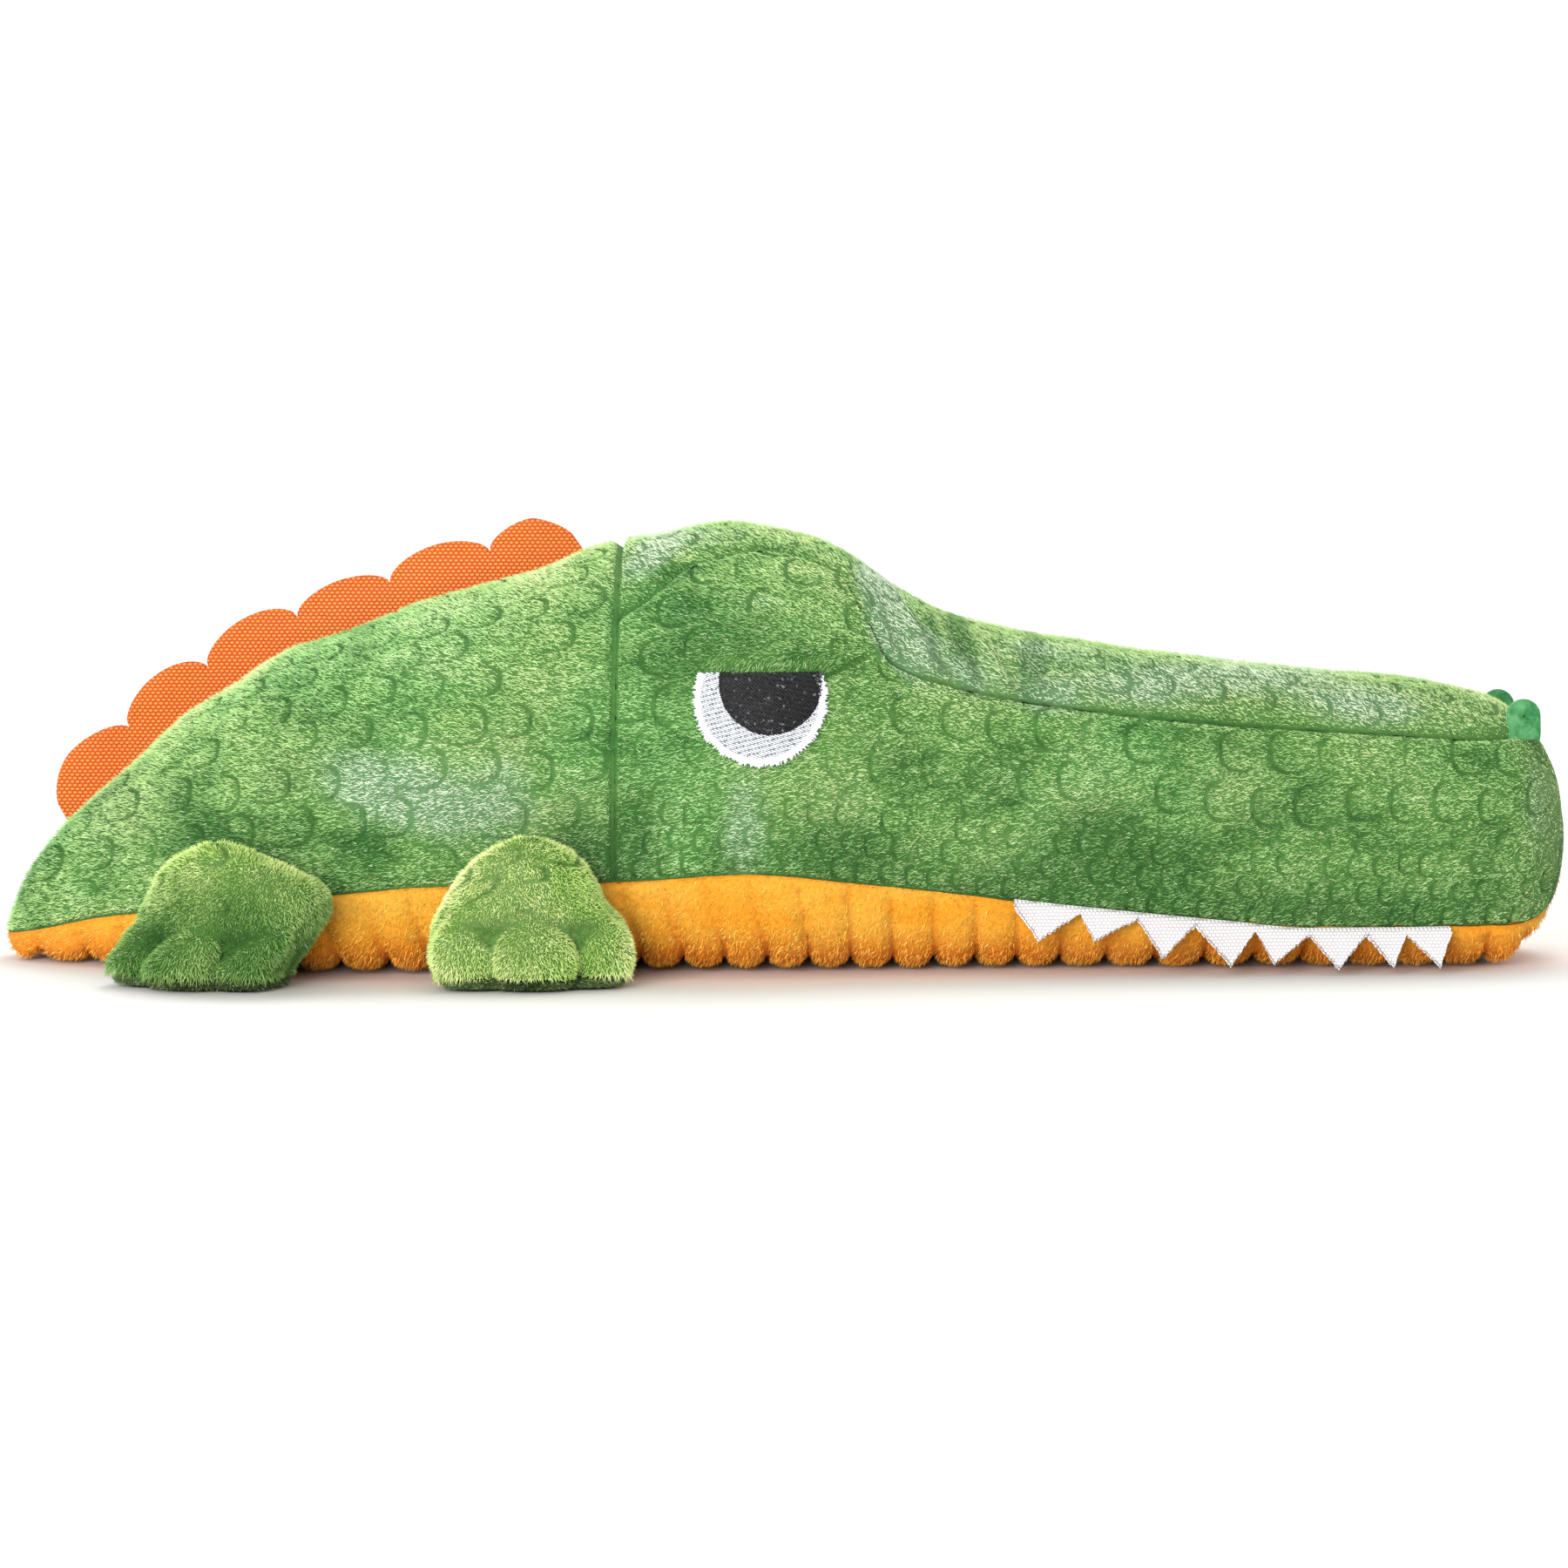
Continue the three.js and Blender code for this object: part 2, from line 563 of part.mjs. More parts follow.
// A strip of teeth: tucked into the mouth seam, bent over it and hanging outwards
function teethStrip() {
  const rows = [];
  const flare = radians(TEETH_FLARE_DEGREES);
  const row = (share, length) => {
    const seam = place(share, -flankSeam(share));
    const fold = new THREE.Vector3(seam.x, seam.y - TEETH_STAND_OFF, seam.z);
    const tuck = place(share, -flankSeam(share), TEETH_TUCK).setX(seam.x);
    const drop = new THREE.Vector3(0, -Math.sin(flare), -Math.cos(flare));
    rows.push([tuck, fold, fold.clone().addScaledVector(drop, length)]);
  };
  toothTipShares.forEach((tip, i) => {
    const [start, end] = [toothValleyShares[i], toothValleyShares[i + 1]];
    row(start, TOOTH_VALLEY);
    row(mix(start, tip, 1 / 2), mix(TOOTH_VALLEY, TOOTH_LENGTHS[i], 1 / 2));
    row(tip, TOOTH_LENGTHS[i]);
    row(mix(tip, end, 1 / 2), mix(TOOTH_VALLEY, TOOTH_LENGTHS[i], 1 / 2));
  });
  row(toothValleyShares[toothTipShares.length], TOOTH_VALLEY);
  const half = TEETH_CLOTH / 2;
  const outward = new THREE.Vector3(0, -Math.cos(flare), Math.sin(flare)).multiplyScalar(half);
  const shift = sign => rows.map(([tuck, fold, tip]) => {
    const inward = tuck.clone().sub(fold).normalize();
    const up = new THREE.Vector3(0, -inward.z, inward.y).multiplyScalar(half);
    const bend = up.clone().add(outward).divideScalar(1 + Math.sin(flare));
    return [
      tuck.clone().addScaledVector(up, sign),
      fold.clone().addScaledVector(bend, sign),
      tip.clone().addScaledVector(outward, sign),
    ];
  });
  return panel(shift(1), shift(-1));
}

// Flat shapes are drawn in side view and pushed out through the toy's right cheek
function pushedRight(shape, depth) {
  const block = new THREE.ExtrudeGeometry(shape, { depth, bevelEnabled: false, curveSegments: EYE_STEPS });
  return solid(block.rotateX(Math.PI / 2));
}

const eyeThread = { inner: headForm(-SEAM_GAP), outer: headForm(-SEAM_GAP - EYE_THREAD) };

// A disc of thread cut straight along the eyelid
function lidDisc(along, height, radius, lid) {
  const open = Math.asin((lid - height) / radius);
  const shape = new THREE.Shape();
  shape.absarc(along, height, radius, Math.PI - open, 2 * Math.PI + open, false);
  return pushedRight(shape, GIRTH_WIDTH);
}

function eye() {
  const along = alongAt(eyeShare);
  const lid = EYE_HEIGHT + EYE_LID_RISE;
  const pupilAlong = along + PUPIL_FORWARD;
  const pupilHeight = EYE_HEIGHT + PUPIL_RAISE;
  const layer = form => form.intersect(eyeThread.outer).subtract(eyeThread.inner);
  const holeTop = pupilHeight + PUPIL_RADIUS * lidHoleShare;
  const hole = lidDisc(pupilAlong, pupilHeight, PUPIL_RADIUS + SEAM_GAP, holeTop);
  const white = layer(lidDisc(along, EYE_HEIGHT, EYE_WHITE_RADIUS, lid)).subtract(hole);
  const pupil = layer(lidDisc(pupilAlong, pupilHeight, PUPIL_RADIUS, lid));
  return { white: geometryOf(white), pupil: geometryOf(pupil) };
}

// A half-oval felt tab that stands on the gusset seam
function nostril() {
  const along = alongAt(nostrilShare);
  const seam = place(nostrilShare, -gussetSeam(nostrilShare));
  const half = NOSTRIL_WIDTH / 2;
  const shoulder = seam.z + NOSTRIL_RISE - half;
  const shape = new THREE.Shape();
  shape.moveTo(along - half, seam.z - NOSTRIL_FELT);
  shape.lineTo(along + half, seam.z - NOSTRIL_FELT);
  shape.lineTo(along + half, shoulder);
  shape.absarc(along, shoulder, half, 0, Math.PI, false);
  const tab = new THREE.ExtrudeGeometry(shape, {
    depth: NOSTRIL_FELT, bevelEnabled: false, curveSegments: NOSTRIL_STEPS,
  });
  tab.rotateX(Math.PI / 2).translate(0, seam.y + NOSTRIL_FELT / 2, 0);
  return geometryOf(solid(tab).subtract(headForm(-SEAM_GAP)));
}

// The filling, in three lots, with a pocket where the first two meet for the squeaker
const bulbCentre = new THREE.Vector3(alongAt(squeakerShare), 0, SQUEAKER_FLOOR + BULB_HEIGHT / 2);

function filling(from, to, girths) {
  const between = [...backStations, ...headStations].filter(share => share > from && share < to);
  return solid(pillow(grid([from, ...between, to], girths, PLUSH + FILLING_GAP)));
}

function bulbOutline(grow) {
  const radius = BULB_RADIUS + grow;
  const half = BULB_HEIGHT / 2 + grow;
  const mouth = Math.asin((MOUTH_RADIUS + grow) / radius);
  return spread(Math.PI, mouth, BULB_STEPS).map(angle => new THREE.Vector2(
    radius * Math.sin(angle), half * Math.cos(angle),
  ));
}

function revolved(outline) {
  const closed = outline.map(point => new THREE.Vector2(Math.max(point.x, 0), point.y));
  return new THREE.LatheGeometry(closed, BULB_TURNS).rotateX(Math.PI / 2)
    .translate(bulbCentre.x, bulbCentre.y, bulbCentre.z);
}

function squeakerBulb() {
  const outer = bulbOutline(0);
  const inner = bulbOutline(-BULB_WALL).reverse();
  return facingOut(mergeVertices(bareOf(revolved([...outer, ...inner])), WELD_DISTANCE));
}

function bareOf(geometry) {
  const bare = new THREE.BufferGeometry();
  bare.setAttribute('position', geometry.getAttribute('position'));
  bare.setIndex(geometry.getIndex());
  return bare;
}

function squeakerReed() {
  const seat = bulbOutline(0).at(-1).y + SEAM_GAP;
  const top = seat + REED_FLANGE;
  const foot = top - REED_HEIGHT;
  const plug = MOUTH_RADIUS - BULB_WALL - SEAM_GAP;
  const bore = plug / 2;
  const outline = [
    [bore, top], [bore, foot], [plug, foot], [plug, seat],
    [REED_FLANGE_RADIUS, seat], [REED_FLANGE_RADIUS, top], [bore, top],
  ];
  return revolved(outline.map(([x, y]) => new THREE.Vector2(x, y)));
}

function squeakerPocket() {
  const top = BULB_HEIGHT / 2 + SEAM_GAP + REED_FLANGE + POCKET_CLEARANCE;
  const radius = REED_FLANGE_RADIUS + POCKET_CLEARANCE;
  const wide = BULB_RADIUS + POCKET_CLEARANCE;
  const high = BULB_HEIGHT / 2 + POCKET_CLEARANCE;
  const ball = spread(Math.PI, 0, BULB_STEPS).map(angle => new THREE.Vector2(
    wide * Math.sin(angle), high * Math.cos(angle),
  ));
  const cap = [[0, 0], [radius, 0], [radius, top], [0, top]].map(([x, y]) => new THREE.Vector2(x, y));
  return solid(revolved(ball)).add(solid(revolved(cap)));
}

// A leg in its own frame: X along its hinge, -Y away from the toy, Z up from the floor. It stands
// off the flank by no more than it needs to swing up clear of it.
function legHinge(leg) {
  const reachShare = leg.width / TOY_LENGTH * hingeSpanShare;
  const onSeam = share => place(share, -flankSeam(share));
  const root = onSeam(leg.rootShare);
  const run = onSeam(leg.rootShare + reachShare).sub(onSeam(leg.rootShare - reachShare));
  const yaw = Math.atan2(run.y, run.x);
  const degrees = spread(0, 180, SWING_STEPS);
  const heights = spread(0, leg.height, SWING_STEPS);
  const skin = heights.flatMap(z => legRing(leg, root.z, z, 0, degrees));
  let swell = 0;
  for (const swing of spread(0, radians(LEG_SWING_DEGREES), 2)) {
    for (const point of skin) {
      const swung = point.clone().setZ(point.z - root.z).applyAxisAngle(alongAxis, -swing);
      const at = swung.applyAxisAngle(upAxis, yaw).add(root);
      if (at.z <= 0) continue;
      const share = at.x / TOY_LENGTH + 1 / 2;
      const flank = place(share, -girthAtHeight(share, at.z));
      swell = Math.max(swell, (at.y - flank.y) / Math.cos(yaw));
    }
  }
  const outward = new THREE.Vector3(Math.sin(yaw), -Math.cos(yaw), 0);
  return { pivot: root.clone().addScaledVector(outward, swell + SEAM_GAP), yaw };
}

function legRing(leg, pivotHeight, z, inset, degrees) {
  const share = z / leg.height;
  const slope = radians(LEG_SLOPE_DEGREES);
  const near = z > pivotHeight ? (z - pivotHeight) / Math.tan(slope) + inset / Math.sin(slope) : inset;
  const far = Math.max(leg.reach * follow(legReachShares, share) - inset, near + LEAST_TOP);
  const wide = leg.width / 2 * follow(legWidthShares, share) - inset;
  const crease = TOE_CREASE * follow(toeCreaseShares, share);
  const middle = (near + far) / 2;
  const deep = (far - near) / 2;
  const point = angle => {
    const turn = radians(angle);
    const out = Math.cos(turn) > 0 ? Math.cos(turn) : -Math.sqrt(-Math.cos(turn));
    const toed = Math.abs(angle) < 2 * TOE_DEGREES;
    const creased = toed ? 1 - Math.abs(Math.cos(Math.PI * angle / TOE_DEGREES)) : 0;
    const pinch = 1 - crease * creased / wide;
    const along = leg.lean * (1 - share) + wide * Math.sin(turn) * pinch;
    return new THREE.Vector3(along, -middle - deep * out * pinch, z);
  };
  return [...degrees.map(point), ...degrees.slice(1, -1).reverse().map(angle => point(-angle))];
}

// Rings from the sole's top to the highest level that still has room for the wall
function legRings(leg, pivotHeight, shares, inset, degrees) {
  const base = SOLE_CLOTH + SEAM_GAP;
  const slope = radians(LEG_SLOPE_DEGREES);
  const roomAt = z => {
    const near = (z - pivotHeight) / Math.tan(slope) + inset / Math.sin(slope);
    return leg.reach * follow(legReachShares, z / leg.height) - inset - near;
  };
  const levels = spread(leg.height - inset, base, OUTLINE_STEPS);
  const top = levels.find(z => roomAt(z) > LEAST_TOP) ?? levels[0];
  return shares.map(share => legRing(leg, pivotHeight, mix(base, top, share), inset, degrees));
}

function addLeg(name, leg, side, hinge) {
  const height = hinge.pivot.z;
  const ring = (z, inset) => legRing(leg, height, z, inset, coverDegrees);
  const pieces = {
    cover: cover(
      legRings(leg, height, coverRingShares, 0, coverDegrees),
      legRings(leg, height, coverRingShares, LEG_PLUSH, coverDegrees),
    ),
    sole: pillow([ring(0, SOLE_ROUNDING), ring(SOLE_CLOTH / 2, 0), ring(SOLE_CLOTH, 0)]),
    stuffing: pillow(legRings(leg, height, fillingRingShares, LEG_PLUSH + FILLING_GAP, fillingDegrees)),
  };
  const finish = { cover: materials.legPlush, sole: materials.darkPlush, stuffing: materials.filling };
  const group = new THREE.Group();
  group.position.set(hinge.pivot.x, side * -hinge.pivot.y, 0);
  group.rotation.z = side * -hinge.yaw;
  for (const [piece, geometry] of Object.entries(pieces)) {
    const shaped = side > 0 ? facingOut(geometry.scale(1, -1, 1)) : geometry;
    add(`${name}_${piece}`, shaped, finish[piece], group);
  }
  toy.add(group);
}

addPair('back_panel', backPanel(), materials.plush);
addPair('head_side', headSide(), materials.plush);
add('head_top_panel', headTopPanel(), materials.plush);
add('belly_panel', bellyPanel(), materials.belly);
add('back_fin', backFin(), materials.nylon);
addPair('teeth', teethStrip(), materials.teeth);
const { white, pupil } = eye();
addPair('eye_white', white, materials.whiteThread);
addPair('eye_pupil', pupil, materials.blackThread);
addPair('nostril', nostril(), materials.felt);

const pocket = squeakerPocket();
const rearFilling = filling(fillingStartShare, squeakerShare - neckGapShare, bodyGirths);
const frontFilling = filling(squeakerShare + neckGapShare, neckShare - neckGapShare, bodyGirths);
const headFilling = filling(neckShare + neckGapShare, fillingEndShare, headGirths);
add('stuffing_rear', geometryOf(rearFilling.subtract(pocket)), materials.filling);
add('stuffing_front', geometryOf(frontFilling.subtract(pocket)), materials.filling);
add('stuffing_head', geometryOf(headFilling), materials.filling);
add('squeaker_bulb', squeakerBulb(), materials.squeaker);
add('squeaker_reed', squeakerReed(), materials.reed);

for (const [end, leg] of [['front', frontLeg], ['rear', rearLeg]]) {
  const hinge = legHinge(leg);
  addLeg(`leg_${end}_right`, leg, -1, hinge);
  addLeg(`leg_${end}_left`, leg, 1, hinge);
}

export default toy;
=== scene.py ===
"""A stuffed crocodile dog toy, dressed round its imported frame. Metres, +X towards the snout,
+Y to the toy's left, +Z up. The sewn forms are lofted again, finer, from the shares that shape
the frame, and grow their pile."""

import json
import math

import bpy
import numpy as np
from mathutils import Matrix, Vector


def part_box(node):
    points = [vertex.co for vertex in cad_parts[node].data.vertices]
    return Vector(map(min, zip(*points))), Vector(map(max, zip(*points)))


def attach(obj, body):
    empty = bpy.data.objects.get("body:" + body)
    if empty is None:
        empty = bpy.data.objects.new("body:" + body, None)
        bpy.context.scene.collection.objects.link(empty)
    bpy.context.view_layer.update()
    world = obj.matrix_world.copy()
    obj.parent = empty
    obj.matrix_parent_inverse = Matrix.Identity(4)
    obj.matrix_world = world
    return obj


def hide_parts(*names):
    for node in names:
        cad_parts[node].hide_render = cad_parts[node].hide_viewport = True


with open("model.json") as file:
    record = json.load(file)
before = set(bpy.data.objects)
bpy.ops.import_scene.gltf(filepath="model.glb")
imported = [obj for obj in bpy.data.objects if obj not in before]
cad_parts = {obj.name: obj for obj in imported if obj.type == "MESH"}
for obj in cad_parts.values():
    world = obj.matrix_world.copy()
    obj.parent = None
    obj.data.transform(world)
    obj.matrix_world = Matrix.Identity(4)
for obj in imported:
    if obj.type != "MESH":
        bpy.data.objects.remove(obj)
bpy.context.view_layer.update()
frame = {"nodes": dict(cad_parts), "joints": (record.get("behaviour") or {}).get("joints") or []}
MM = 0.001

# The stuffed form, in millimetres and shares of its sizes, as the frame has them
TOY_LENGTH = 394
CROWN_HEIGHT = 110.4
GIRTH_WIDTH = 120
FLOOR_CUT = 0.5
RIB_LEAN, RIB_LEAN_REACH = 0.22, 22
rib_counts = [
    [0, 0], [0.0634, 2], [0.1955, 7], [0.2828, 10], [0.4112, 15], [0.5687, 21], [0.6737, 25],
    [0.826, 30], [1, 36],
]
crown_shares = [
    [0, 0.073], [0.006, 0.125], [0.016, 0.205], [0.032, 0.285], [0.057, 0.372], [0.085, 0.46],
    [0.113, 0.552], [0.141, 0.616], [0.183, 0.708], [0.225, 0.76], [0.266, 0.818], [0.308, 0.863],
    [0.35, 0.905], [0.378, 0.945], [0.396, 0.961], [0.423, 0.975], [0.448, 0.994], [0.467, 1],
    [0.489, 0.992], [0.517, 0.97], [0.545, 0.925], [0.573, 0.852], [0.6, 0.8], [0.628, 0.769],
    [0.67, 0.742], [0.726, 0.712], [0.782, 0.688], [0.838, 0.666], [0.893, 0.648], [0.921, 0.632],
    [0.946, 0.61], [0.963, 0.582], [0.975, 0.548], [0.984, 0.505], [0.992, 0.45], [0.997, 0.39],
    [1, 0.315],
]
bottom_shares = [
    [0, 0.05], [0.006, 0.022], [0.016, 0], [0.945, 0], [0.968, 0.028], [0.98, 0.072],
    [0.99, 0.135], [0.997, 0.2], [1, 0.262],
]
flank_seam_shares = [
    [0, 0.06], [0.0345, 0.086], [0.065, 0.113], [0.15, 0.158], [0.2366, 0.196], [0.28, 0.209],
    [0.4, 0.216], [0.48, 0.232], [0.556, 0.205], [0.61, 0.181], [0.651, 0.16], [0.719, 0.132],
    [0.7735, 0.112], [0.8277, 0.094], [0.882, 0.094], [0.937, 0.097], [0.967, 0.098],
    [0.985, 0.122], [0.994, 0.185], [1, 0.276],
]
gusset_seam_shares = [
    [0.39, 0.79], [0.411, 0.832], [0.4454, 0.915], [0.489, 0.946], [0.533, 0.903], [0.554, 0.795],
    [0.5675, 0.706], [0.608, 0.65], [0.6625, 0.611], [0.7717, 0.566], [0.826, 0.553],
    [0.882, 0.541], [0.9386, 0.529], [0.965, 0.53], [0.977, 0.503], [0.99, 0.43], [1, 0.3],
]
width_shares = [
    [0, 0.05], [0.006, 0.14], [0.016, 0.225], [0.032, 0.31], [0.057, 0.42], [0.085, 0.535],
    [0.113, 0.655], [0.145, 0.78], [0.183, 0.895], [0.222, 0.972], [0.261, 1], [0.3, 0.983],
    [0.339, 0.945], [0.378, 0.91], [0.423, 0.905], [0.489, 0.908], [0.523, 0.883], [0.556, 0.835],
    [0.59, 0.785], [0.629, 0.745], [0.696, 0.7], [0.779, 0.67], [0.863, 0.64], [0.919, 0.605],
    [0.952, 0.56], [0.972, 0.49], [0.984, 0.395], [0.993, 0.28], [0.9975, 0.17], [1, 0.07],
]
squareness_shares = [[0, 2], [0.2, 2.1], [0.5, 2.15], [0.6, 2.5], [0.75, 2.8], [0.95, 2.8], [1, 2.2]]
BELLY_SQUARENESS = 4
WIDEST_SHARE = 0.43
NECK_SHARE = 0.396
BROW_SHARE = 0.492
BROW_RISE_SHARE = 0.8
BROW_BULGE, BROW_LENGTH, BROW_RISE = 2.2, 26, 17
EYE_SHARE = 0.4855
EYE_HEIGHT, WHITE_RADIUS, LID_RISE, PUPIL_RADIUS, PUPIL_SHIFT = 68.6, 16.4, 6.3, 12.7, (2.5, 3.9)
fin_arch_shares = [0.0405, 0.0925, 0.1405, 0.1945, 0.2545, 0.3165, 0.371]
FIN_END, FIN_VALLEY, FIN_PEAK, FIN_TUCK, FIN_THICKNESS = 0.6, 6.5, 12, 2, 1.6
tooth_valley_shares = [0.6424, 0.6835, 0.7188, 0.7556, 0.7924, 0.8272, 0.8612, 0.8878, 0.9155]
tooth_tip_shares = [0.6566, 0.6924, 0.7335, 0.7766, 0.8033, 0.8434, 0.8787, 0.9074]
TOOTH_LENGTHS = [9.2, 8, 10.6, 11, 9.2, 10, 9.8, 9.8]
TOOTH_VALLEY, TEETH_FLARE, TEETH_STAND_OFF, TEETH_TUCK = 0.8, math.radians(32), 1.2, 2
front_leg = {
    "reach": 23, "width": 50, "height": 37.8, "lean": 1, "toe_height": 7.5,
    "width_shares": [
        [0, 0.9], [0.1, 0.99], [0.2, 1.04], [0.39, 0.97], [0.55, 0.8], [0.7, 0.68], [0.8, 0.58],
        [0.92, 0.42], [1, 0.26],
    ],
    "slants": [[0, -1], [0.2, -1.2], [0.39, -1.4], [0.55, -2.3], [0.7, -2], [1, -1.5]],
}
rear_leg = {
    "reach": 31, "width": 48, "height": 36.4, "lean": -1, "toe_height": 5.5,
    "width_shares": [
        [0, 0.9], [0.12, 0.98], [0.3, 0.99], [0.49, 1.02], [0.7, 0.92], [0.82, 0.7], [0.92, 0.48],
        [1, 0.26],
    ],
    "slants": [[0, -4.6], [0.12, -4.6], [0.3, 0.2], [0.49, 3.4], [0.7, 6.6], [0.85, 4.4], [1, 2]],
}
leg_reach_shares = [
    [0, 0.86], [0.1, 0.93], [0.28, 1], [0.5, 0.985], [0.7, 0.95], [0.85, 0.9], [1, 0.82],
]
toe_crease_shares = [[0, 0.6], [0.15, 1], [0.4, 0.7], [0.62, 0]]
TOE_CREASE, TOE_DEGREES, LEG_SLOPE, LEAST_TOP = 2.2, 52, math.radians(50), 1.5
SOLE_CLOTH = 3
# Where each toe stands, in degrees round the leg, and its spread
TOES = ((-60, 35), (0, 31), (60, 33))
TOE_SWELL, CREASE_DEPTH = 4.8, 2.3
# The sole's rings from the floor up: height, inset, and share of the toes' swell
SOLE_RINGS = ((0.15, 3.2, 0.75), (0.9, 2.2, 0.9), (2, 1.8, 0.9), (3, 2.4, 0.8))

# The dressing, in millimetres and shares
END_SHARE = 4 / TOY_LENGTH
PLUSH_BACKING = 1.3
PILE_ROOM = 0.8
SKIN_STEP, RIB_STEP = 0.5, 0.45
SEAM_DIP, SEAM_REACH = 1.9, 1.5
BROW_PLACE, BROW_SPAN = -13, 20
LINE_SHORT, SEAM_SHORT, NECK_SHORT, NECK_REACH = 0.75, 0.6, 0.6, 2.2
LEAST_HEIGHT = {"skin": 0.9, "pile": 0.05, "teeth": 0.3}
TEETH_HALF_CLOTH, FIN_STEP, TEETH_STEP = 0.45, 0.7, 0.3
MAP_MARGIN = 0.01
RIB_DEPTH, LOW_RIB_DEPTH, LUMP_DEPTH = 1.9, 1.8, 0.4
CREASE_PLACE, CREASE_SPAN, CREASE_PITCH = 44, 22, 9.5
FOLD_DEPTH, LID_RIDGE, LID_HOLLOW = 1.3, 0.6, 1.8
LEG_STEP, LEG_CLOSING, LEG_LUMP_DEPTH, SCALE_DEPTH = 0.6, 9, 0.35, 0.7
TEETH_CURL, TEETH_RAG = 0.9, 0.62
# Rows of stitches: slope, pitch, length of a stitch, seed
WHITE_ROWS, BLACK_ROWS = (math.radians(-20), 0.46, 2.1, 5), (math.radians(-32), 0.42, 3.4, 8)
# Pressed scales: pitch along and up, the side away from which they open, width of a groove
body_scales, head_scales, jaw_scales, crown_scales, toe_scales = (
    ((13, 11.5), 1, 0.38), ((11.5, 12.5), -1, 0.38), ((6, 6.6), -1, 0.3), ((12.5, 12), 1, 0.36),
    ((13, 5.2), 1, 0.34),
)
# How many strands a pile has, and their length, width and ruffle (a share)
strands = {
    "back": (44000, 1.3, 0.105, 0.42), "head_side": (49000, 1.3, 0.105, 0.42),
    "head_top": (40000, 1.3, 0.105, 0.42), "belly": (49000, 1.3, 0.12, 0.42),
    "leg": (20000, 1.2, 0.12, 0.5), "sole": (3500, 1.4, 0.13, 0.5),
}
sides = ("right", "left")
legs = (("front", front_leg), ("rear", rear_leg))


# ---- Node trees written as expressions ----
def operator(kind, turned=False):
    """A Wire's operator, or the one for a number on its left."""
    def apply(wire, other):
        return wire.board.maths(kind, *((other, wire) if turned else (wire, other)))
    return apply


class Wire:
    """A socket of a node tree that takes + - * / and ** as a number does."""

    __add__ = __radd__ = operator("ADD")
    __mul__ = __rmul__ = operator("MULTIPLY")
    __sub__, __rsub__ = operator("SUBTRACT"), operator("SUBTRACT", True)
    __truediv__, __rtruediv__ = operator("DIVIDE"), operator("DIVIDE", True)
    __pow__, __rpow__ = operator("POWER"), operator("POWER", True)

    def __init__(self, board, socket):
        self.board, self.socket = board, socket

    def other(self, name):
        """Another output of the same node."""
        return Wire(self.board, self.socket.node.outputs[name])


class Board:
    """A node tree, for a material, the world or geometry."""

    def __init__(self, tree):
        self.tree = tree

    def feed(self, node, sockets):
        for name, value in sockets.items():
            if isinstance(value, Wire):
                self.tree.links.new(value.socket, node.inputs[name])
            else:
                node.inputs[name].default_value = value

    def node(self, kind, settings=None, sockets=None, out=0):
        made = self.tree.nodes.new(kind)
        for name, value in (settings or {}).items():
            setattr(made, name, value)
        self.feed(made, sockets or {})
        return Wire(self, made.outputs[out]) if made.outputs else made

    def maths(self, operation, *values):
        return self.node("ShaderNodeMath", {"operation": operation}, dict(enumerate(values)))

    def vector(self, operation, *values):
        return self.node("ShaderNodeVectorMath", {"operation": operation}, dict(enumerate(values)))

    def split(self, place):
        """The X, Y and Z of a vector."""
        x = self.node("ShaderNodeSeparateXYZ", {}, {0: place})
        return x, x.other("Y"), x.other("Z")

    def between(self, value, low, high, under=0.0, over=1.0):
        """What it is under low and over high, and smooth between them."""
        return self.node(
            "ShaderNodeMapRange", {"interpolation_type": "SMOOTHSTEP"},
            {"Value": value, "From Min": low, "From Max": high, "To Min": under, "To Max": over},
        )


class Finish(Board):
    """A material of one principled shader."""

    def __init__(self, name, roughness, sheen=0.0, specular=0.3, sheen_tint=(1, 1, 1, 1)):
        self.material = bpy.data.materials.new(name)
        self.material.use_nodes = True
        super().__init__(self.material.node_tree)
        self.shader = self.tree.nodes["Principled BSDF"]
        self.feed(self.shader, {
            "Roughness": roughness, "Sheen Weight": sheen, "Sheen Roughness": 0.4,
            "Sheen Tint": sheen_tint, "Specular IOR Level": specular,
        })
        self.place = self.node("ShaderNodeTexCoord", out="Object")
        self.x, self.y, self.z = self.split(self.place)

    def noise(self, scale, detail=3.0, rough=0.55, stretch=None, shift=None):
        place = self.place
        if shift:
            place = self.vector("ADD", place, shift)
        if stretch:
            place = self.vector("MULTIPLY", place, stretch)
        sockets = {"Vector": place, "Scale": scale, "Detail": detail, "Roughness": rough}
        return self.node("ShaderNodeTexNoise", {}, sockets, "Fac")

    def mix(self, factor, first, second, way="MIX"):
        settings = {"data_type": "RGBA", "blend_type": way}
        return self.node("ShaderNodeMix", settings, {0: factor, 6: first, 7: second}, 2)

    def times(self, colour, by):
        return self.mix(1.0, colour, by, "MULTIPLY")

    def attribute(self, name):
        return self.node("ShaderNodeAttribute", {"attribute_name": name}, {}, "Fac")

    def patch(self, x, z, reach_x, reach_z, lean):
        """A soft spot of 1 in side view, in millimetres."""
        along = (self.x - x * MM) / (reach_x * MM)
        up = (self.z - z * MM) / (reach_z * MM) - along * lean
        return math.e ** ((along * along + up * up) * -1)

    def patched(self, places):
        """How far each place of a list has hold, all of them added up."""
        return sum(self.patch(*row[:5]) * row[5] for row in places)

    def wear(self, colour, height=None, depth=0, strength=1.0):
        """The finished material, bumped by a height of so many millimetres."""
        self.feed(self.shader, {"Base Color": colour})
        if height:
            sockets = {"Height": height, "Distance": depth * MM, "Strength": strength}
            self.feed(self.shader, {"Normal": self.node("ShaderNodeBump", {}, sockets, "Normal")})
        return self.material


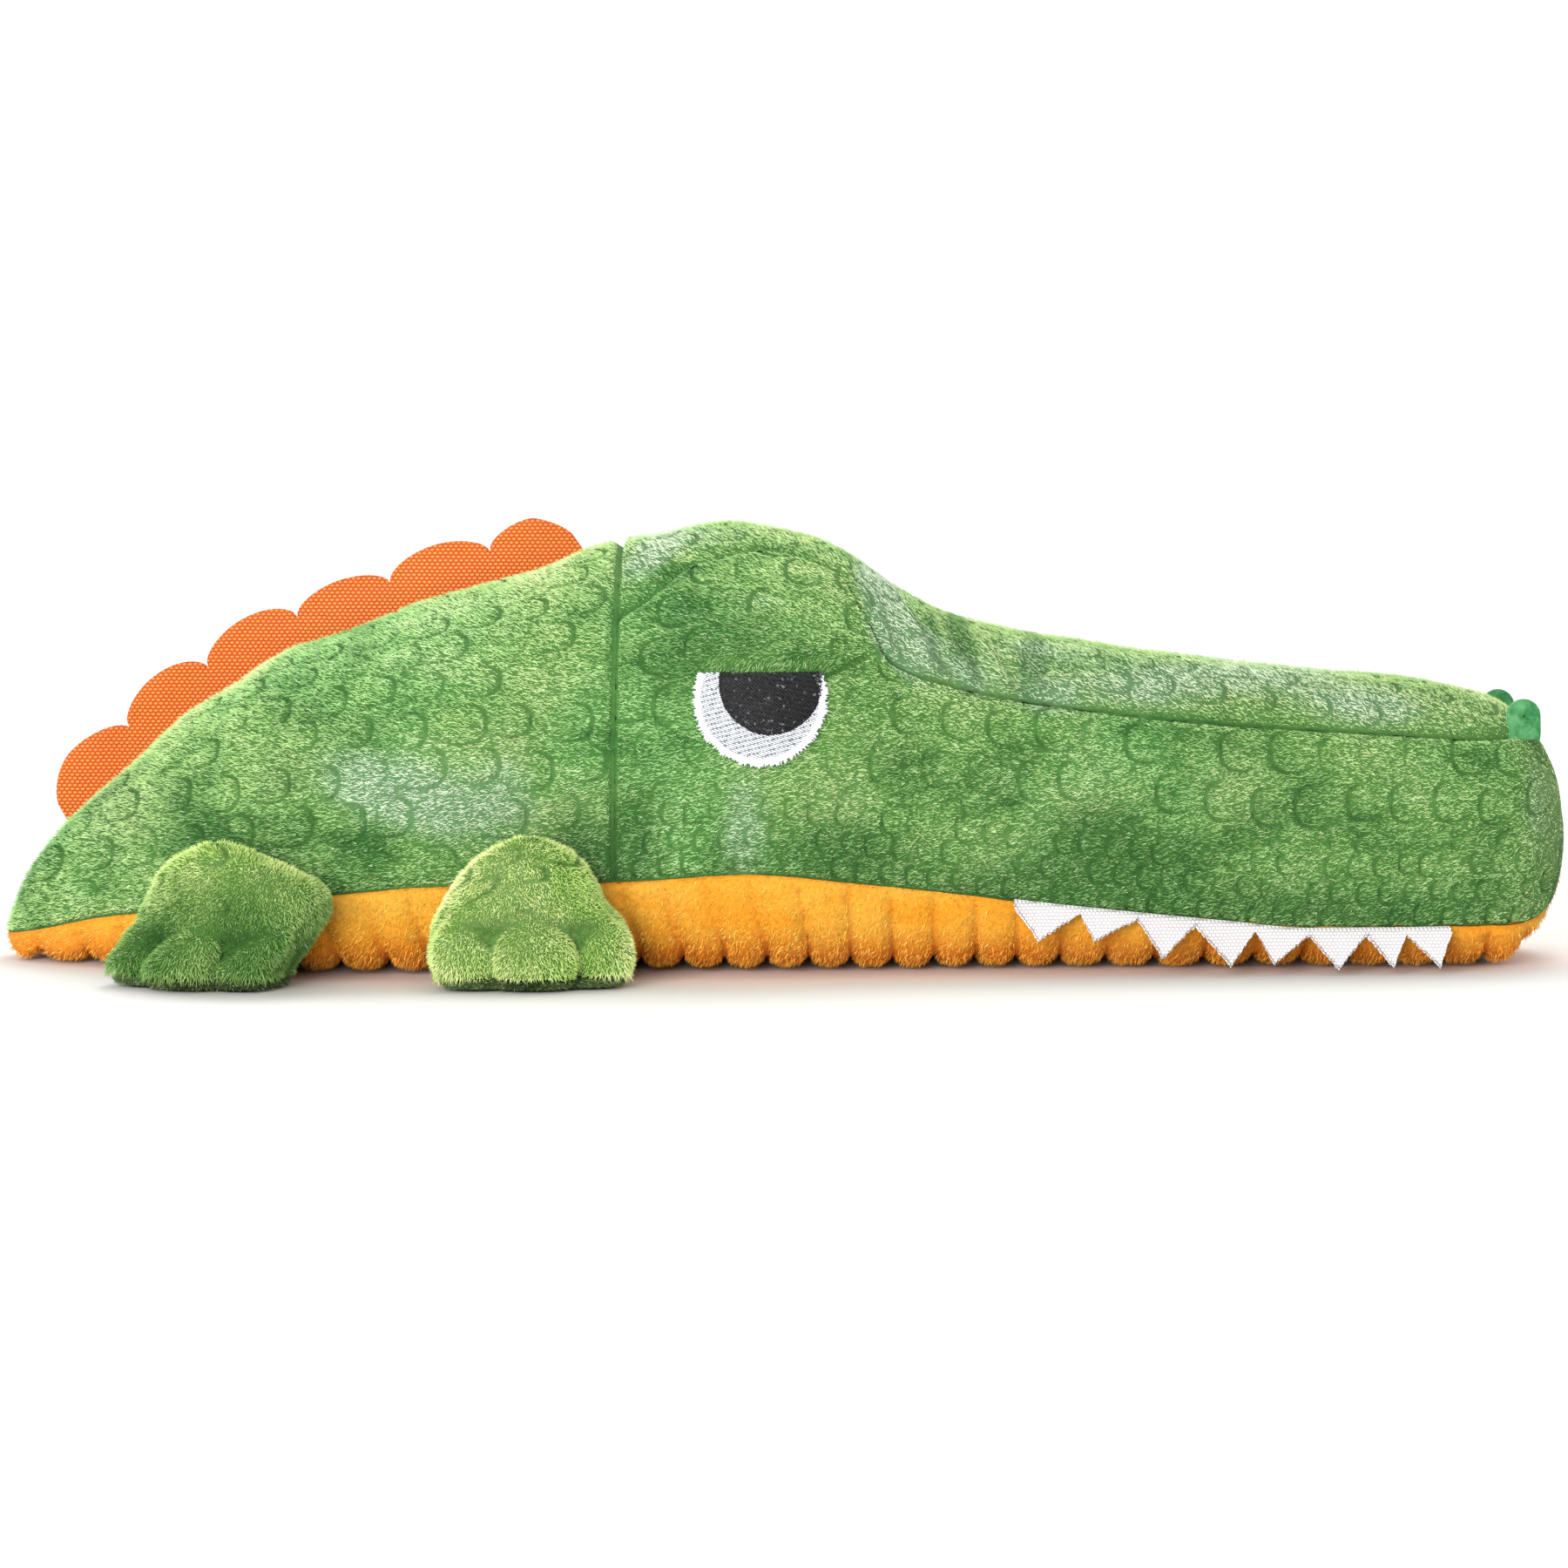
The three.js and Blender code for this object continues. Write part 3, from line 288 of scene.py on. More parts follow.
def rgb(red, green, blue):
    """A colour given as a screen shows it, 0 to 255."""
    def linear(c):
        c = c / 255
        return c / 12.92 if c <= 0.04045 else ((c + 0.055) / 1.055) ** 2.4
    return (linear(red), linear(green), linear(blue), 1)


# ---- Finishes ----
# Soft places in side view, of dye, painted light and painted shade: x, z, reach along, reach up, slope,
# strength
pale_places = [
    (-96, 49, 20, 9, -0.3, 0.85), (-80, 41, 21, 9, -0.2, 0.8), (-66, 50, 9, 8, 0.0, 0.5),
    (-9.5, 37, 8, 17, 0.0, 0.8), (-34, 101, 7, 5, 0.5, 1.0), (26, 88, 8, 10, -1.2, 1.6),
    (31, 81, 9, 5, -0.6, 1.1), (-6, 92, 12, 4, 0.0, 0.5), (47, 72, 8, 4, -0.2, 0.9),
    (65, 68, 9, 5, -0.2, 0.9), (88, 69, 16, 5, -0.15, 0.9), (-22, 107, 18, 4, 0.0, 0.6),
    (143, 65, 18, 6, -0.1, 0.95), (186, 40, 6, 14, 0.0, 0.6), (52, 45, 12, 9, 0.0, 0.4),
    (152, 44, 10, 8, 0.0, 0.3), (112, 70, 20, 4, -0.1, 0.5), (6, 55, 8, 6, 0.0, 0.3),
    (62, 79, 22, 4, -0.2, 0.55), (112, 74, 34, 4, -0.12, 0.5),
]
# Lighter dye and painted highlights
light_dye_and_highlight_places = [
    (-163, 38, 17, 12, 0.5, 0.85), (-121, 50, 14, 9, 0.1, 0.7), (110, 46, 14, 12, 0.0, 0.8),
    (100, 69, 44, 6, -0.12, 1.3), (156, 63, 24, 6, -0.12, 1.0), (40, 78, 14, 9, -0.5, 1.6),
    (190, 40, 9, 18, 0.0, 1.0), (26, 56, 12, 9, 0.0, 0.5), (-100, 62, 26, 8, 0.3, 0.4),
    (-56, 72, 14, 14, 0.0, 0.4), (56, 77, 9, 5, -0.2, 0.5),
]
# Painted shade: low down, by the legs, about the brow and in the snout's creases
painted_shade_places = [
    (-12, 84, 14, 7, 0.1, 0.75), (-27, 76, 9, 10, 0.0, 0.7), (12, 78, 8, 8, 0.0, 0.4),
    (-36, 34, 7, 16, 0.0, 0.9), (-50, 30, 8, 13, 0.0, 0.9), (-103, 26, 14, 6, 0.0, 0.35),
    (-66, 60, 9, 14, 0.0, 0.3), (13, 31, 20, 9, 0.0, 0.9), (70, 20, 40, 9, 0.0, 1.0),
    (140, 15, 46, 8, 0.0, 0.7), (78, 34, 16, 10, 0.0, 0.9), (128, 46, 8, 12, 0.0, 0.45),
    (44, 79, 3.2, 9, -0.5, 1.6), (36.5, 83, 2.4, 5, -0.3, 1.1), (61, 74, 3.4, 8, 0.3, 1.5),
    (172, 30, 7, 14, 0.0, 0.4), (-184, 20, 10, 8, 0.0, 0.3),
]


def green_cloth(f):
    """The dyed cloud of light, mid and deep green, with its pale places of mint dye, its light places
    of lighter dye and painted highlights, a painted lighter top and painted shade in its dark places.
    """
    light, mid, deep = rgb(230, 248, 180), rgb(188, 228, 146), rgb(112, 166, 92)
    cloud = f.noise(30, 3, 0.55, (0.8, 1, 1.1))
    streak = f.noise(85, 4, 0.6, (0.5, 1, 1.2))
    fine = f.noise(260, 3, 0.6, (0.5, 1, 1.3))
    blend = cloud * 0.5 + streak * 0.3 + fine * 0.2
    colour = f.mix(f.between(blend, 0.36, 0.52), deep, mid)
    colour = f.mix(f.between(blend, 0.47, 0.64), colour, light)
    teal = f.noise(17, 3, 0.5, shift=(0.31, 0.07, 0.11))
    colour = f.mix(f.between(teal, 0.5, 0.66) * 0.4, colour, f.times(colour, (0.72, 1.0, 1.06, 1)))
    # Painted light: the upper head and body a little lighter, as light falls from above
    upper = f.between(f.z, 55 * MM, 100 * MM) * (1 - f.between(f.x, -60 * MM, -30 * MM))
    colour = f.mix(upper * 0.1, colour, light)
    # Lighter dye and painted highlights at the light places
    lit = f.between(f.patched(light_dye_and_highlight_places) * (0.5 + blend), 0.15, 1.0)
    colour = f.mix(lit * 0.75, colour, light)
    # Painted shade at the dark places
    dark = f.between(f.patched(painted_shade_places) * (0.45 + blend * 1.1), 0.1, 0.9)
    colour = f.mix(dark * 0.8, colour, deep)
    pale = f.between(f.patched(pale_places) * (streak * 1.3 + fine * 1.1), 0.25, 1.3)
    return f.mix(pale * 0.85, colour, rgb(246, 255, 240))


def leg_cloth(f):
    blend = f.noise(60, 4, 0.6)
    rear = 1 - f.between(f.x, -112 * MM, -84 * MM)
    low = 1 - f.between(f.z, 16 * MM, 34 * MM)
    patches = f.between(blend, 0.36, 0.62)
    high = f.mix(patches, rgb(208, 236, 136), rgb(248, 255, 180))
    front = f.mix(f.patch(-64, 13, 13, 6, 0.0) * 0.5, high, rgb(186, 218, 120))
    deep = f.mix(patches, rgb(104, 156, 74), rgb(150, 192, 102))
    return f.mix(rear, front, f.mix(low * 0.9, high, deep))


def sole_cloth(f):
    patches = f.between(f.noise(90, 4, 0.6), 0.35, 0.65)
    return f.mix(patches, rgb(62, 84, 44), rgb(96, 116, 66))


def orange_cloth(f):
    blend = f.noise(55, 4, 0.6, (0.6, 1, 1.4))
    colour = f.mix(f.between(blend, 0.35, 0.65), rgb(255, 196, 52), rgb(255, 216, 88))
    # Painted shade: darker orange towards the floor, where the belly turns under
    low = 1 - f.between(f.z, 2 * MM, 14 * MM)
    return f.mix(low * 0.6, colour, rgb(246, 146, 34))


def plush_finishes(name, colour_of, root, pressed, painted_glint, sheen, sheen_tint, depth):
    """Pile with painted shade towards the root of each spike and where it is pressed into grooves,
    seams and folds, darker from spike to spike at random and with painted glints, and its backing,
    darkened as painted shade under the pile.
    """
    f = Finish(f"{name}_pile", 0.6, sheen, sheen_tint=sheen_tint)
    tone = f.attribute("tone")
    groove = f.attribute("groove")
    colour = colour_of(f)
    # Painted shade towards the root of each spike
    colour = f.mix(f.between(f.attribute("tip"), -0.3, 0.6), f.times(colour, root), colour)
    colour = f.mix(f.between(tone, 0.0, 0.7), f.times(colour, (0.56, 0.62, 0.5, 1)), colour)
    # Painted shade in the grooves, seams, folds and creases that the groove attribute marks
    colour = f.mix(f.between(groove, 0.1, 0.7), colour, f.times(colour, pressed))
    # Painted glints on a few spikes
    pile = f.wear(f.mix(f.between(tone, 0.9, 0.96) * (1 - groove) * 0.45, colour, painted_glint))
    f = Finish(f"{name}_backing", 0.9)
    knit = f.noise(900, 2, 0.5)
    # Painted shade: the backing darkened by depth, under the pile
    colour = f.times(colour_of(f), depth)
    return pile, f.wear(f.mix(knit, colour, f.mix(0.5, colour, (0, 0, 0, 1))), knit, 0.4)


# Painted shade at the root, painted shade in grooves, painted glint colour, sheen, sheen tint and the
# backing's painted shade
green_nap = (
    (0.5, 0.56, 0.48, 1), (0.1, 0.22, 0.1, 1), rgb(250, 255, 214), 0.07, rgb(206, 240, 170),
    (0.14, 0.26, 0.13, 1),
)
green_looks = plush_finishes("green", green_cloth, *green_nap)
leg_looks = plush_finishes("leg", leg_cloth, *green_nap)
sole_looks = plush_finishes("sole", sole_cloth, *green_nap)
# For orange the same: painted shade at the root and in grooves, painted glint colour, sheen, sheen tint
# and the backing's painted shade
orange_looks = plush_finishes(
    "orange", orange_cloth, (0.94, 0.74, 0.55, 1), (0.86, 0.5, 0.26, 1), rgb(255, 232, 140), 0.1,
    rgb(255, 214, 130), (0.85, 0.6, 0.4, 1),
)


def woven_finish(name, thread, gap, cell, roughness, sheen, depth):
    """Plain weave read in side view: cells of (along, up) millimetres, staggered by rows."""
    f = Finish(name, roughness, sheen, 0.4)
    wobble = f.noise(240, 2, 0.5) - 0.5
    row = f.z / (cell[1] * MM) + wobble * 0.35
    along = f.x / (cell[0] * MM) + f.maths("FLOOR", row) * 0.5 + wobble * 0.25
    u = f.maths("FRACT", along) - 0.5
    v = f.maths("FRACT", row) - 0.5
    over = 1 - f.between(u * u * 3.4 + v * v * 3.2, 0.12, 1.0)
    bright = tuple(min(1, c * 1.22) for c in thread[:3]) + (1,)
    tinted = f.mix(f.between(f.noise(45, 3, 0.6), 0.3, 0.7) * 0.6, thread, bright)
    # Where no thread lies over, the gap colour is painted shade between the threads
    return f.wear(f.mix(over, gap, tinted), over, depth, 0.9)


fin_nylon = woven_finish("fin_nylon", rgb(246, 124, 32), rgb(176, 54, 4), (1.33, 0.9), 0.5, 0.02, 0.3)
tooth_weave = woven_finish(
    "tooth_weave", rgb(238, 234, 235), rgb(192, 184, 187), (1.0, 0.76), 0.8, 0.0, 0.16
)


def thread_finish(name, colour, dark, glint):
    f = Finish(name, 0.45)
    ply = f.noise(1500, 2, 0.5)
    shade = f.mix(ply * 0.5 + f.attribute("tone") * 0.45, colour, dark)
    dots = f.between(f.noise(1100, 1, 0.4), 0.66, 0.74)
    return f.wear(f.mix(dots * 0.7, shade, glint), ply, 0.08, 0.5)


white_thread = thread_finish("white_thread", rgb(230, 231, 236), rgb(192, 196, 206), rgb(244, 244, 245))
black_thread = thread_finish("black_thread", rgb(28, 28, 31), rgb(3, 3, 4), rgb(130, 132, 138))
# A dark sheet under the white stitches: painted shade in the gaps between them
white_bobbin = thread_finish("white_bobbin", rgb(96, 104, 102), rgb(64, 72, 68), rgb(110, 116, 114))


def felt_finish():
    f = Finish("nostril_felt", 0.95, 0.5, 0.15, rgb(170, 226, 184))
    fluff = f.noise(420, 5, 0.7)
    lump = f.noise(130, 3, 0.6)
    factor = f.between(fluff * 0.6 + lump * 0.4, 0.35, 0.65)
    return f.wear(f.mix(factor, rgb(34, 106, 56), rgb(92, 152, 100)), fluff, 0.35)


def wadding_finish():
    f = Finish("wadding", 1.0, 0.3, 0.1)
    tuft = f.noise(160, 5, 0.65)
    return f.wear(f.mix(tuft, rgb(250, 250, 246), rgb(214, 214, 206)), tuft, 2.0)


def plastic_finish(name, colour, roughness):
    f = Finish(name, roughness, specular=0.5)
    return f.wear(f.mix(f.noise(60) * 0.3, colour, rgb(190, 186, 172)), f.noise(700, 2, 0.5), 0.05, 0.4)


nostril_felt = felt_finish()
wadding = wadding_finish()


# ---- The stuffed form ----
def follow(table, shares):
    """A smooth curve through a table's rows that never swings past them."""
    x, y = np.array(table, float).T
    s = np.clip(np.asarray(shares, float), x[0], x[-1])
    slope = np.diff(y) / np.diff(x)
    before, after = slope[:-1], slope[1:]
    total = np.where(before * after > 0, before + after, 1)
    within = np.where(before * after > 0, 2 * before * after / total, 0)
    turn = np.concatenate([[slope[0]], within, [slope[-1]]])
    i = np.clip(np.searchsorted(x, s, side="right") - 1, 0, len(x) - 2)
    step = x[i + 1] - x[i]
    t = (s - x[i]) / step
    rest = 1 - t
    return (
        rest * rest * (1 + 2 * t) * y[i] + t * t * (3 - 2 * t) * y[i + 1]
        + rest * rest * t * step * turn[i] - t * t * rest * step * turn[i + 1]
    )


def along_at(shares):
    return (shares - 0.5) * TOY_LENGTH


class Form:
    """Half outlines of the toy, from the belly's middle to the crown, at many places along it."""

    ANGLES = np.linspace(-math.pi / 2, math.pi / 2, 241)

    def __init__(self, shares):
        self.shares = np.asarray(shares, float)
        s = self.shares[:, None]
        crown = follow(crown_shares, s) * CROWN_HEIGHT
        bottom = follow(bottom_shares, s) * CROWN_HEIGHT - FLOOR_CUT
        half = follow(width_shares, s) * GIRTH_WIDTH / 2
        widest = bottom + (crown - bottom) * WIDEST_SHARE
        upper = self.ANGLES[None, :] > 0
        square = np.where(upper, follow(squareness_shares, s), BELLY_SQUARENESS)
        across = np.clip(np.cos(self.ANGLES), 0, 1)[None, :] ** (2 / square)
        across[:, [0, -1]] = 0
        up = np.abs(np.sin(self.ANGLES))[None, :] ** (2 / square)
        z = widest + (np.where(upper, crown, bottom) - widest) * up
        along = (s - BROW_SHARE) * TOY_LENGTH / BROW_LENGTH
        rise = (z - BROW_RISE_SHARE * CROWN_HEIGHT) / BROW_RISE
        self.y = (half + BROW_BULGE * np.exp(-along ** 2 - rise ** 2)) * across
        self.z = np.maximum(z, 0)
        run = np.hypot(np.diff(self.y, axis=1), np.diff(self.z, axis=1))
        self.lengths = np.concatenate([np.zeros((len(s), 1)), np.cumsum(run, axis=1)], axis=1)
        self.total = self.lengths[:, -1:]
        self.x = along_at(np.clip(self.shares, 0, 1))
        past = np.maximum(np.maximum(self.shares - 1, -self.shares), 0)
        self.open = 1 - np.clip(past / END_SHARE, 0, 1)[:, None] * 0.95
        self.middle = self.z.mean(axis=1)[:, None]

    def seam(self, table):
        """The girth at which a seam with a table of heights runs."""
        return np.array([
            np.interp(h, z + np.arange(len(z)) * 1e-9, lengths) / lengths[-1]
            for h, z, lengths in zip(follow(table, self.shares) * CROWN_HEIGHT, self.z, self.lengths)
        ])[:, None]

    def points(self, girths):
        """Points at girths, one row for each place along. A negative girth is on the toy's right."""
        x = np.repeat(self.x[:, None], girths.shape[1], axis=1)
        y, z = (
            np.array([np.interp(np.abs(g) * l[-1], l, v) for g, l, v in zip(girths, self.lengths, at)])
            for at in (self.y, self.z)
        )
        y *= self.open
        z = self.middle + (z - self.middle) * self.open
        return np.stack([x, y * np.where(girths < 0, -1, 1), z], axis=2)

    def fading(self, least):
        """1 along the toy and down to least at its two ends."""
        ends = np.minimum(1 - self.shares, self.shares + 0.008)
        return np.clip(ends / 0.02, least, 1)[:, None]


def ramp(values, start, span):
    """0 at the start, 1 a span further on, and straight between them."""
    return np.clip((values - start) / span, 0, 1)


def bell(values, middle, reach, power=2):
    """1 at the middle, and down to nothing past the reach."""
    return np.exp(-((values - middle) / reach) ** power)


def unit(vectors):
    return vectors / np.maximum(np.linalg.norm(vectors, axis=-1, keepdims=True), 1e-9)


def outward(points, flip=False):
    """Unit normals of a grid of points."""
    normals = np.cross(np.gradient(points, axis=0), np.gradient(points, axis=1))
    return unit(normals * (-1 if flip else 1))


def mirrored(points):
    return points * np.array([1, -1, 1])


def hashed(a, b, seed):
    """A repeatable number from 0 to 1 for each pair of whole numbers."""
    mixed = np.sin(a * 127.1 + b * 311.7 + seed * 74.7) * 43758.5453
    return mixed - np.floor(mixed)


def scale_lines(along, up, scales, seed):
    """Pressed outlines of staggered scales. 1 in a groove."""
    pitch, side, width = scales
    row = np.floor(up / pitch[1])
    shifted = along / pitch[0] + 0.5 * np.mod(row, 2) + 0.35 * hashed(row, 3, seed)
    column = np.floor(shifted)
    a = (shifted - column - 0.5) * 2 + 0.34 * (hashed(column, row, seed) - 0.5)
    b = (up / pitch[1] - row - 0.5) * 2 + 0.34 * (hashed(column, row, seed + 1) - 0.5)
    radius = 0.7 + 0.2 * hashed(column, row, seed + 2)
    reach = (np.abs(a) ** 2.6 + np.abs(b) ** 2.6) ** (1 / 2.6)
    gap = np.abs(reach - radius) * min(pitch) / 2
    turned = np.clip((a * side + 0.15) / 0.5, 0, 1) + 0.75 * np.clip((-b - 0.35) / 0.5, 0, 1)
    strength = np.clip(0.25 + 1.2 * hashed(column, row, seed + 3), 0, 1)
    return np.exp(-(gap / width) ** 2) * np.clip(turned, 0, 1) * strength


def combed(lines, along, *shifts):
    """The grooves, widened towards +X, from where pile would lie over them, as it leans towards -X."""
    return np.maximum.reduce([lines(along - shift) for shift in (0, *shifts)])


def tufted(points, seed):
    """Pile a little longer and shorter from tuft to tuft."""
    return 1 + 0.2 * waves(points, 2.6, seed + 5)


def combing(points, seed, way):
    """The way the pile is brushed, turned a little from tuft to tuft."""
    turns = np.stack([waves(points, 3.5, seed + k) for k in range(3)], axis=-1)
    return np.array(way) + 0.22 * turns


def waves(points, size, seed):
    """Slow unevenness, from -1 to 1, of stuffing under cloth."""
    p = points / size
    total = np.zeros(points.shape[:-1])
    for k in range(5):
        way = np.array([hashed(k, n, seed) - 0.5 for n in range(3)])
        way = way / np.linalg.norm(way) * (0.8 + 0.5 * k)
        total += np.sin(p @ way * 2 * math.pi + 6.28 * hashed(k, 7, seed)) / (1 + 0.6 * k)
    return total / 2.4


# ---- Meshes ----
def placed_object(name, data):
    made = bpy.data.objects.new(name, data)
    bpy.context.scene.collection.objects.link(made)
    return made


def dress(piece, body, slot, node=None):
    """Seats a piece on its body and, for some, in the place of a solid, which it hides. Its slot is not
    used.
    """
    if node:
        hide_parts(node)
    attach(piece, body)


def mesh_object(name, points, faces, material):
    """A smooth mesh through points in millimetres."""
    mesh = bpy.data.meshes.new(name)
    points = np.asarray(points).reshape(-1, 3) * MM
    mesh.from_pydata([tuple(v) for v in points], [], [tuple(int(i) for i in f) for f in faces])
    mesh.materials.append(material)
    mesh.validate()
    mesh.shade_smooth()
    return placed_object(name, mesh)


def grid_faces(rows, columns, start=0, flip=False, closed=False):
    """Quads over a grid of points, also from its last column to the first if it is closed."""
    i = np.arange(rows - 1)[:, None]
    j = np.arange(columns if closed else columns - 1)[None, :]
    k = (j + 1) % columns
    here, there = i * columns, (i + 1) * columns
    quads = np.stack([here + j, there + j, there + k, here + k], axis=2).reshape(-1, 4) + start
    return quads[:, ::-1] if flip else quads


def turned(faces, flip):
    """Faces as tuples, which flip turns over."""
    return [tuple(f)[::-1] if flip else tuple(f) for f in faces]


def border(rows, columns, start=0):
    """The point numbers along the four edges of a grid, round it."""
    index = np.arange(rows * columns).reshape(rows, columns) + start
    return index[0], index[:, -1], index[-1][::-1], index[::-1, 0]


def zipped(points, outer, inner):
    """Triangles between two lines of point numbers that run the same way, by the shorter link."""
    faces, i, j = [], 0, 0
    while i < len(outer) - 1 or j < len(inner) - 1:
        ahead = below = math.inf
        if i < len(outer) - 1:
            ahead = np.linalg.norm(points[outer[i + 1]] - points[inner[j]])
        if j < len(inner) - 1:
            below = np.linalg.norm(points[outer[i]] - points[inner[j + 1]])
        if ahead <= below:
            faces.append((outer[i], outer[i + 1], inner[j]))
            i += 1
        else:
            faces.append((outer[i], inner[j + 1], inner[j]))
            j += 1
    return faces


def coarser(grid, step):
    """Which points stay where only every so many-th and the last of a grid's do."""
    return np.ix_(*(np.unique(np.append(np.arange(0, n, step), n - 1)) for n in grid.shape[:2]))


def walled(name, outer, normals, material, flip):
    """A closed cloth panel: its face, a coarser back and the cut edges."""
    rows, columns = outer.shape[:2]
    inner = (outer - normals * PLUSH_BACKING)[coarser(outer, 5)]
    points = np.concatenate([outer.reshape(-1, 3), inner.reshape(-1, 3)])
    size = inner.shape[:2]
    faces = [*grid_faces(rows, columns, 0, flip), *grid_faces(*size, rows * columns, not flip)]
    for line, other in zip(border(rows, columns), border(*size, rows * columns)):
        faces += turned(zipped(points, line, other), not flip)
    return mesh_object(name, points, faces, material)


def slab(name, outer, inner, material, flip=False):
    """A closed sheet between two grids of the same size."""
    rows, columns = outer.shape[:2]
    count = rows * columns
    faces = [*grid_faces(rows, columns, 0, flip), *grid_faces(rows, columns, count, not flip)]
    for line, other in zip(border(rows, columns), border(rows, columns, count)):
        faces += turned(zip(line[1:], line[:-1], other[:-1], other[1:]), flip)
    return mesh_object(name, np.stack([outer, inner]), faces, material)


def tube(name, rings, material, flip=False):
    """A mesh through closed rings, the first and last of which are filled."""
    rows, columns = rings.shape[:2]
    ring = np.arange(columns)
    caps = turned([ring[::-1], ring + (rows - 1) * columns], flip)
    return mesh_object(name, rings, [*grid_faces(rows, columns, 0, flip, True), *caps], material)


def positions(mesh):
    at = np.empty(len(mesh.vertices) * 3, np.float32)
    mesh.vertices.foreach_get("co", at)
    return at


def give(mesh, name, kind, values):
    layer = mesh.attributes.new(name, kind, "POINT")
    values = np.asarray(values, np.float32)
    layer.data.foreach_set("vector" if kind == "FLOAT_VECTOR" else "value", values.ravel())


def wrap_map(mesh, centre, facing, upright=False):
    """A bake map wrapped round the long or the upright axis, with its seam away from facing."""
    at = positions(mesh).reshape(-1, 3).astype(float)
    low, high = at.min(axis=0), at.max(axis=0)
    x, y, z = (at - np.array(centre)).T
    if upright:
        across = np.arctan2(x * facing[0] + y * facing[1], x * facing[1] - y * facing[0])
        u = np.mod(across + math.pi / 2 + math.pi, 2 * math.pi) / (2 * math.pi)
        v = (at[:, 2] - low[2]) / (high[2] - low[2])
    else:
        across = np.arctan2(z * facing[1] - y * facing[2], y * facing[1] + z * facing[2])
        v = across / (2 * math.pi) + 0.5
        u = (at[:, 0] - low[0]) / (high[0] - low[0])
        v = (v - v.min()) / max(v.max() - v.min(), 1e-6)
    corners = np.empty(len(mesh.loops), np.int32)
    mesh.loops.foreach_get("vertex_index", corners)
    layer = mesh.uv_layers.new(name="OFBake", do_init=False)
    uv = np.stack([u, v], axis=1)[corners] * (1 - 2 * MAP_MARGIN) + MAP_MARGIN
    layer.uv.foreach_set("vector", uv.astype(np.float32).ravel())


# ---- Pile and threads laid by geometry nodes ----
class Growth(Board):
    """A geometry tree that sets copies of one shape on a host and gives them a material."""

    def __init__(self, name, inputs):
        super().__init__(bpy.data.node_groups.new(name, "GeometryNodeTree"))
        kinds = {"Geometry": "Geometry", **inputs, "Material": "Material"}
        for label, kind in kinds.items():
            self.tree.interface.new_socket(label, in_out="INPUT", socket_type=f"NodeSocket{kind}")
        self.tree.interface.new_socket("Geometry", in_out="OUTPUT", socket_type="NodeSocketGeometry")
        self.given = self.node("NodeGroupInput")

    def named(self, name, kind="FLOAT"):
        return self.node(
            "GeometryNodeInputNamedAttribute", {"data_type": kind}, {"Name": name}, "Attribute"
        )

    def stored(self, geometry, name, value, domain):
        return self.node(
            "GeometryNodeStoreNamedAttribute", {"data_type": "FLOAT", "domain": domain},
            {"Geometry": geometry, "Name": name, "Value": value},
        )

    def chance(self, low, high, seed):
        return self.node(
            "FunctionNodeRandomValue", {"data_type": "FLOAT"}, {2: low, 3: high, "Seed": seed}, 1
        )

    def laid(self, spots, shape, turn, size, seed):
        """The finished tree: a shape on each spot, with a tone of its own, as one plain mesh."""
        grown = self.node("GeometryNodeInstanceOnPoints", {}, {
            "Points": spots, "Instance": shape, "Rotation": turn,
            "Scale": self.node("ShaderNodeCombineXYZ", {}, dict(enumerate(size))),
        })
        grown = self.stored(grown, "tone", self.chance(0.0, 1.0, seed), "INSTANCE")
        real = self.node("GeometryNodeRealizeInstances", {}, {"Geometry": grown})
        sockets = {"Geometry": real, "Material": self.given.other("Material")}
        dressed = self.node("GeometryNodeSetMaterial", {}, sockets)
        self.node("NodeGroupOutput", {}, {"Geometry": dressed})
        return self.tree


def pile_tree():
    """Spikes that stand on a cloth face, lean the way its nap says and shorten in its grooves."""
    board = Growth("grow_pile", {
        "Per Square Metre": "Float", "Seed": "Int", "Length": "Float", "Width": "Float",
        "Ruffle": "Float",
    })
    given = board.given
    seed, wide = given.other("Seed"), given.other("Width")
    spots = board.node(
        "GeometryNodeDistributePointsOnFaces", {},
        {"Mesh": given, "Density": given.other("Per Square Metre"), "Seed": seed}, "Points",
    )
    sway = board.node(
        "FunctionNodeRandomValue", {"data_type": "FLOAT_VECTOR"},
        {0: (-1, -1, -1), 1: (1, 1, 1), "Seed": seed + 1},
    )
    sway = board.node(
        "ShaderNodeVectorMath", {"operation": "SCALE"}, {0: sway, "Scale": given.other("Ruffle")}
    )
    way = board.vector("ADD", board.named("nap", "FLOAT_VECTOR"), sway)
    turn = board.node("FunctionNodeAlignRotationToVector", {"axis": "Z"}, {"Vector": way})
    long = given.other("Length") * board.named("stand") * board.chance(0.7, 1.2, seed + 2)
    spike = board.node(
        "GeometryNodeMeshCone", {"fill_type": "NGON"},
        {"Vertices": 3, "Side Segments": 1, "Fill Segments": 1, "Radius Top": 0.0, "Radius Bottom": 1.0,
         "Depth": 1.0},
    )
    height = board.split(board.node("GeometryNodeInputPosition"))[2]
    spike = board.stored(spike, "tip", height, "POINT")
    return board.laid(spots, spike, turn, (wide, wide, long), seed + 3)


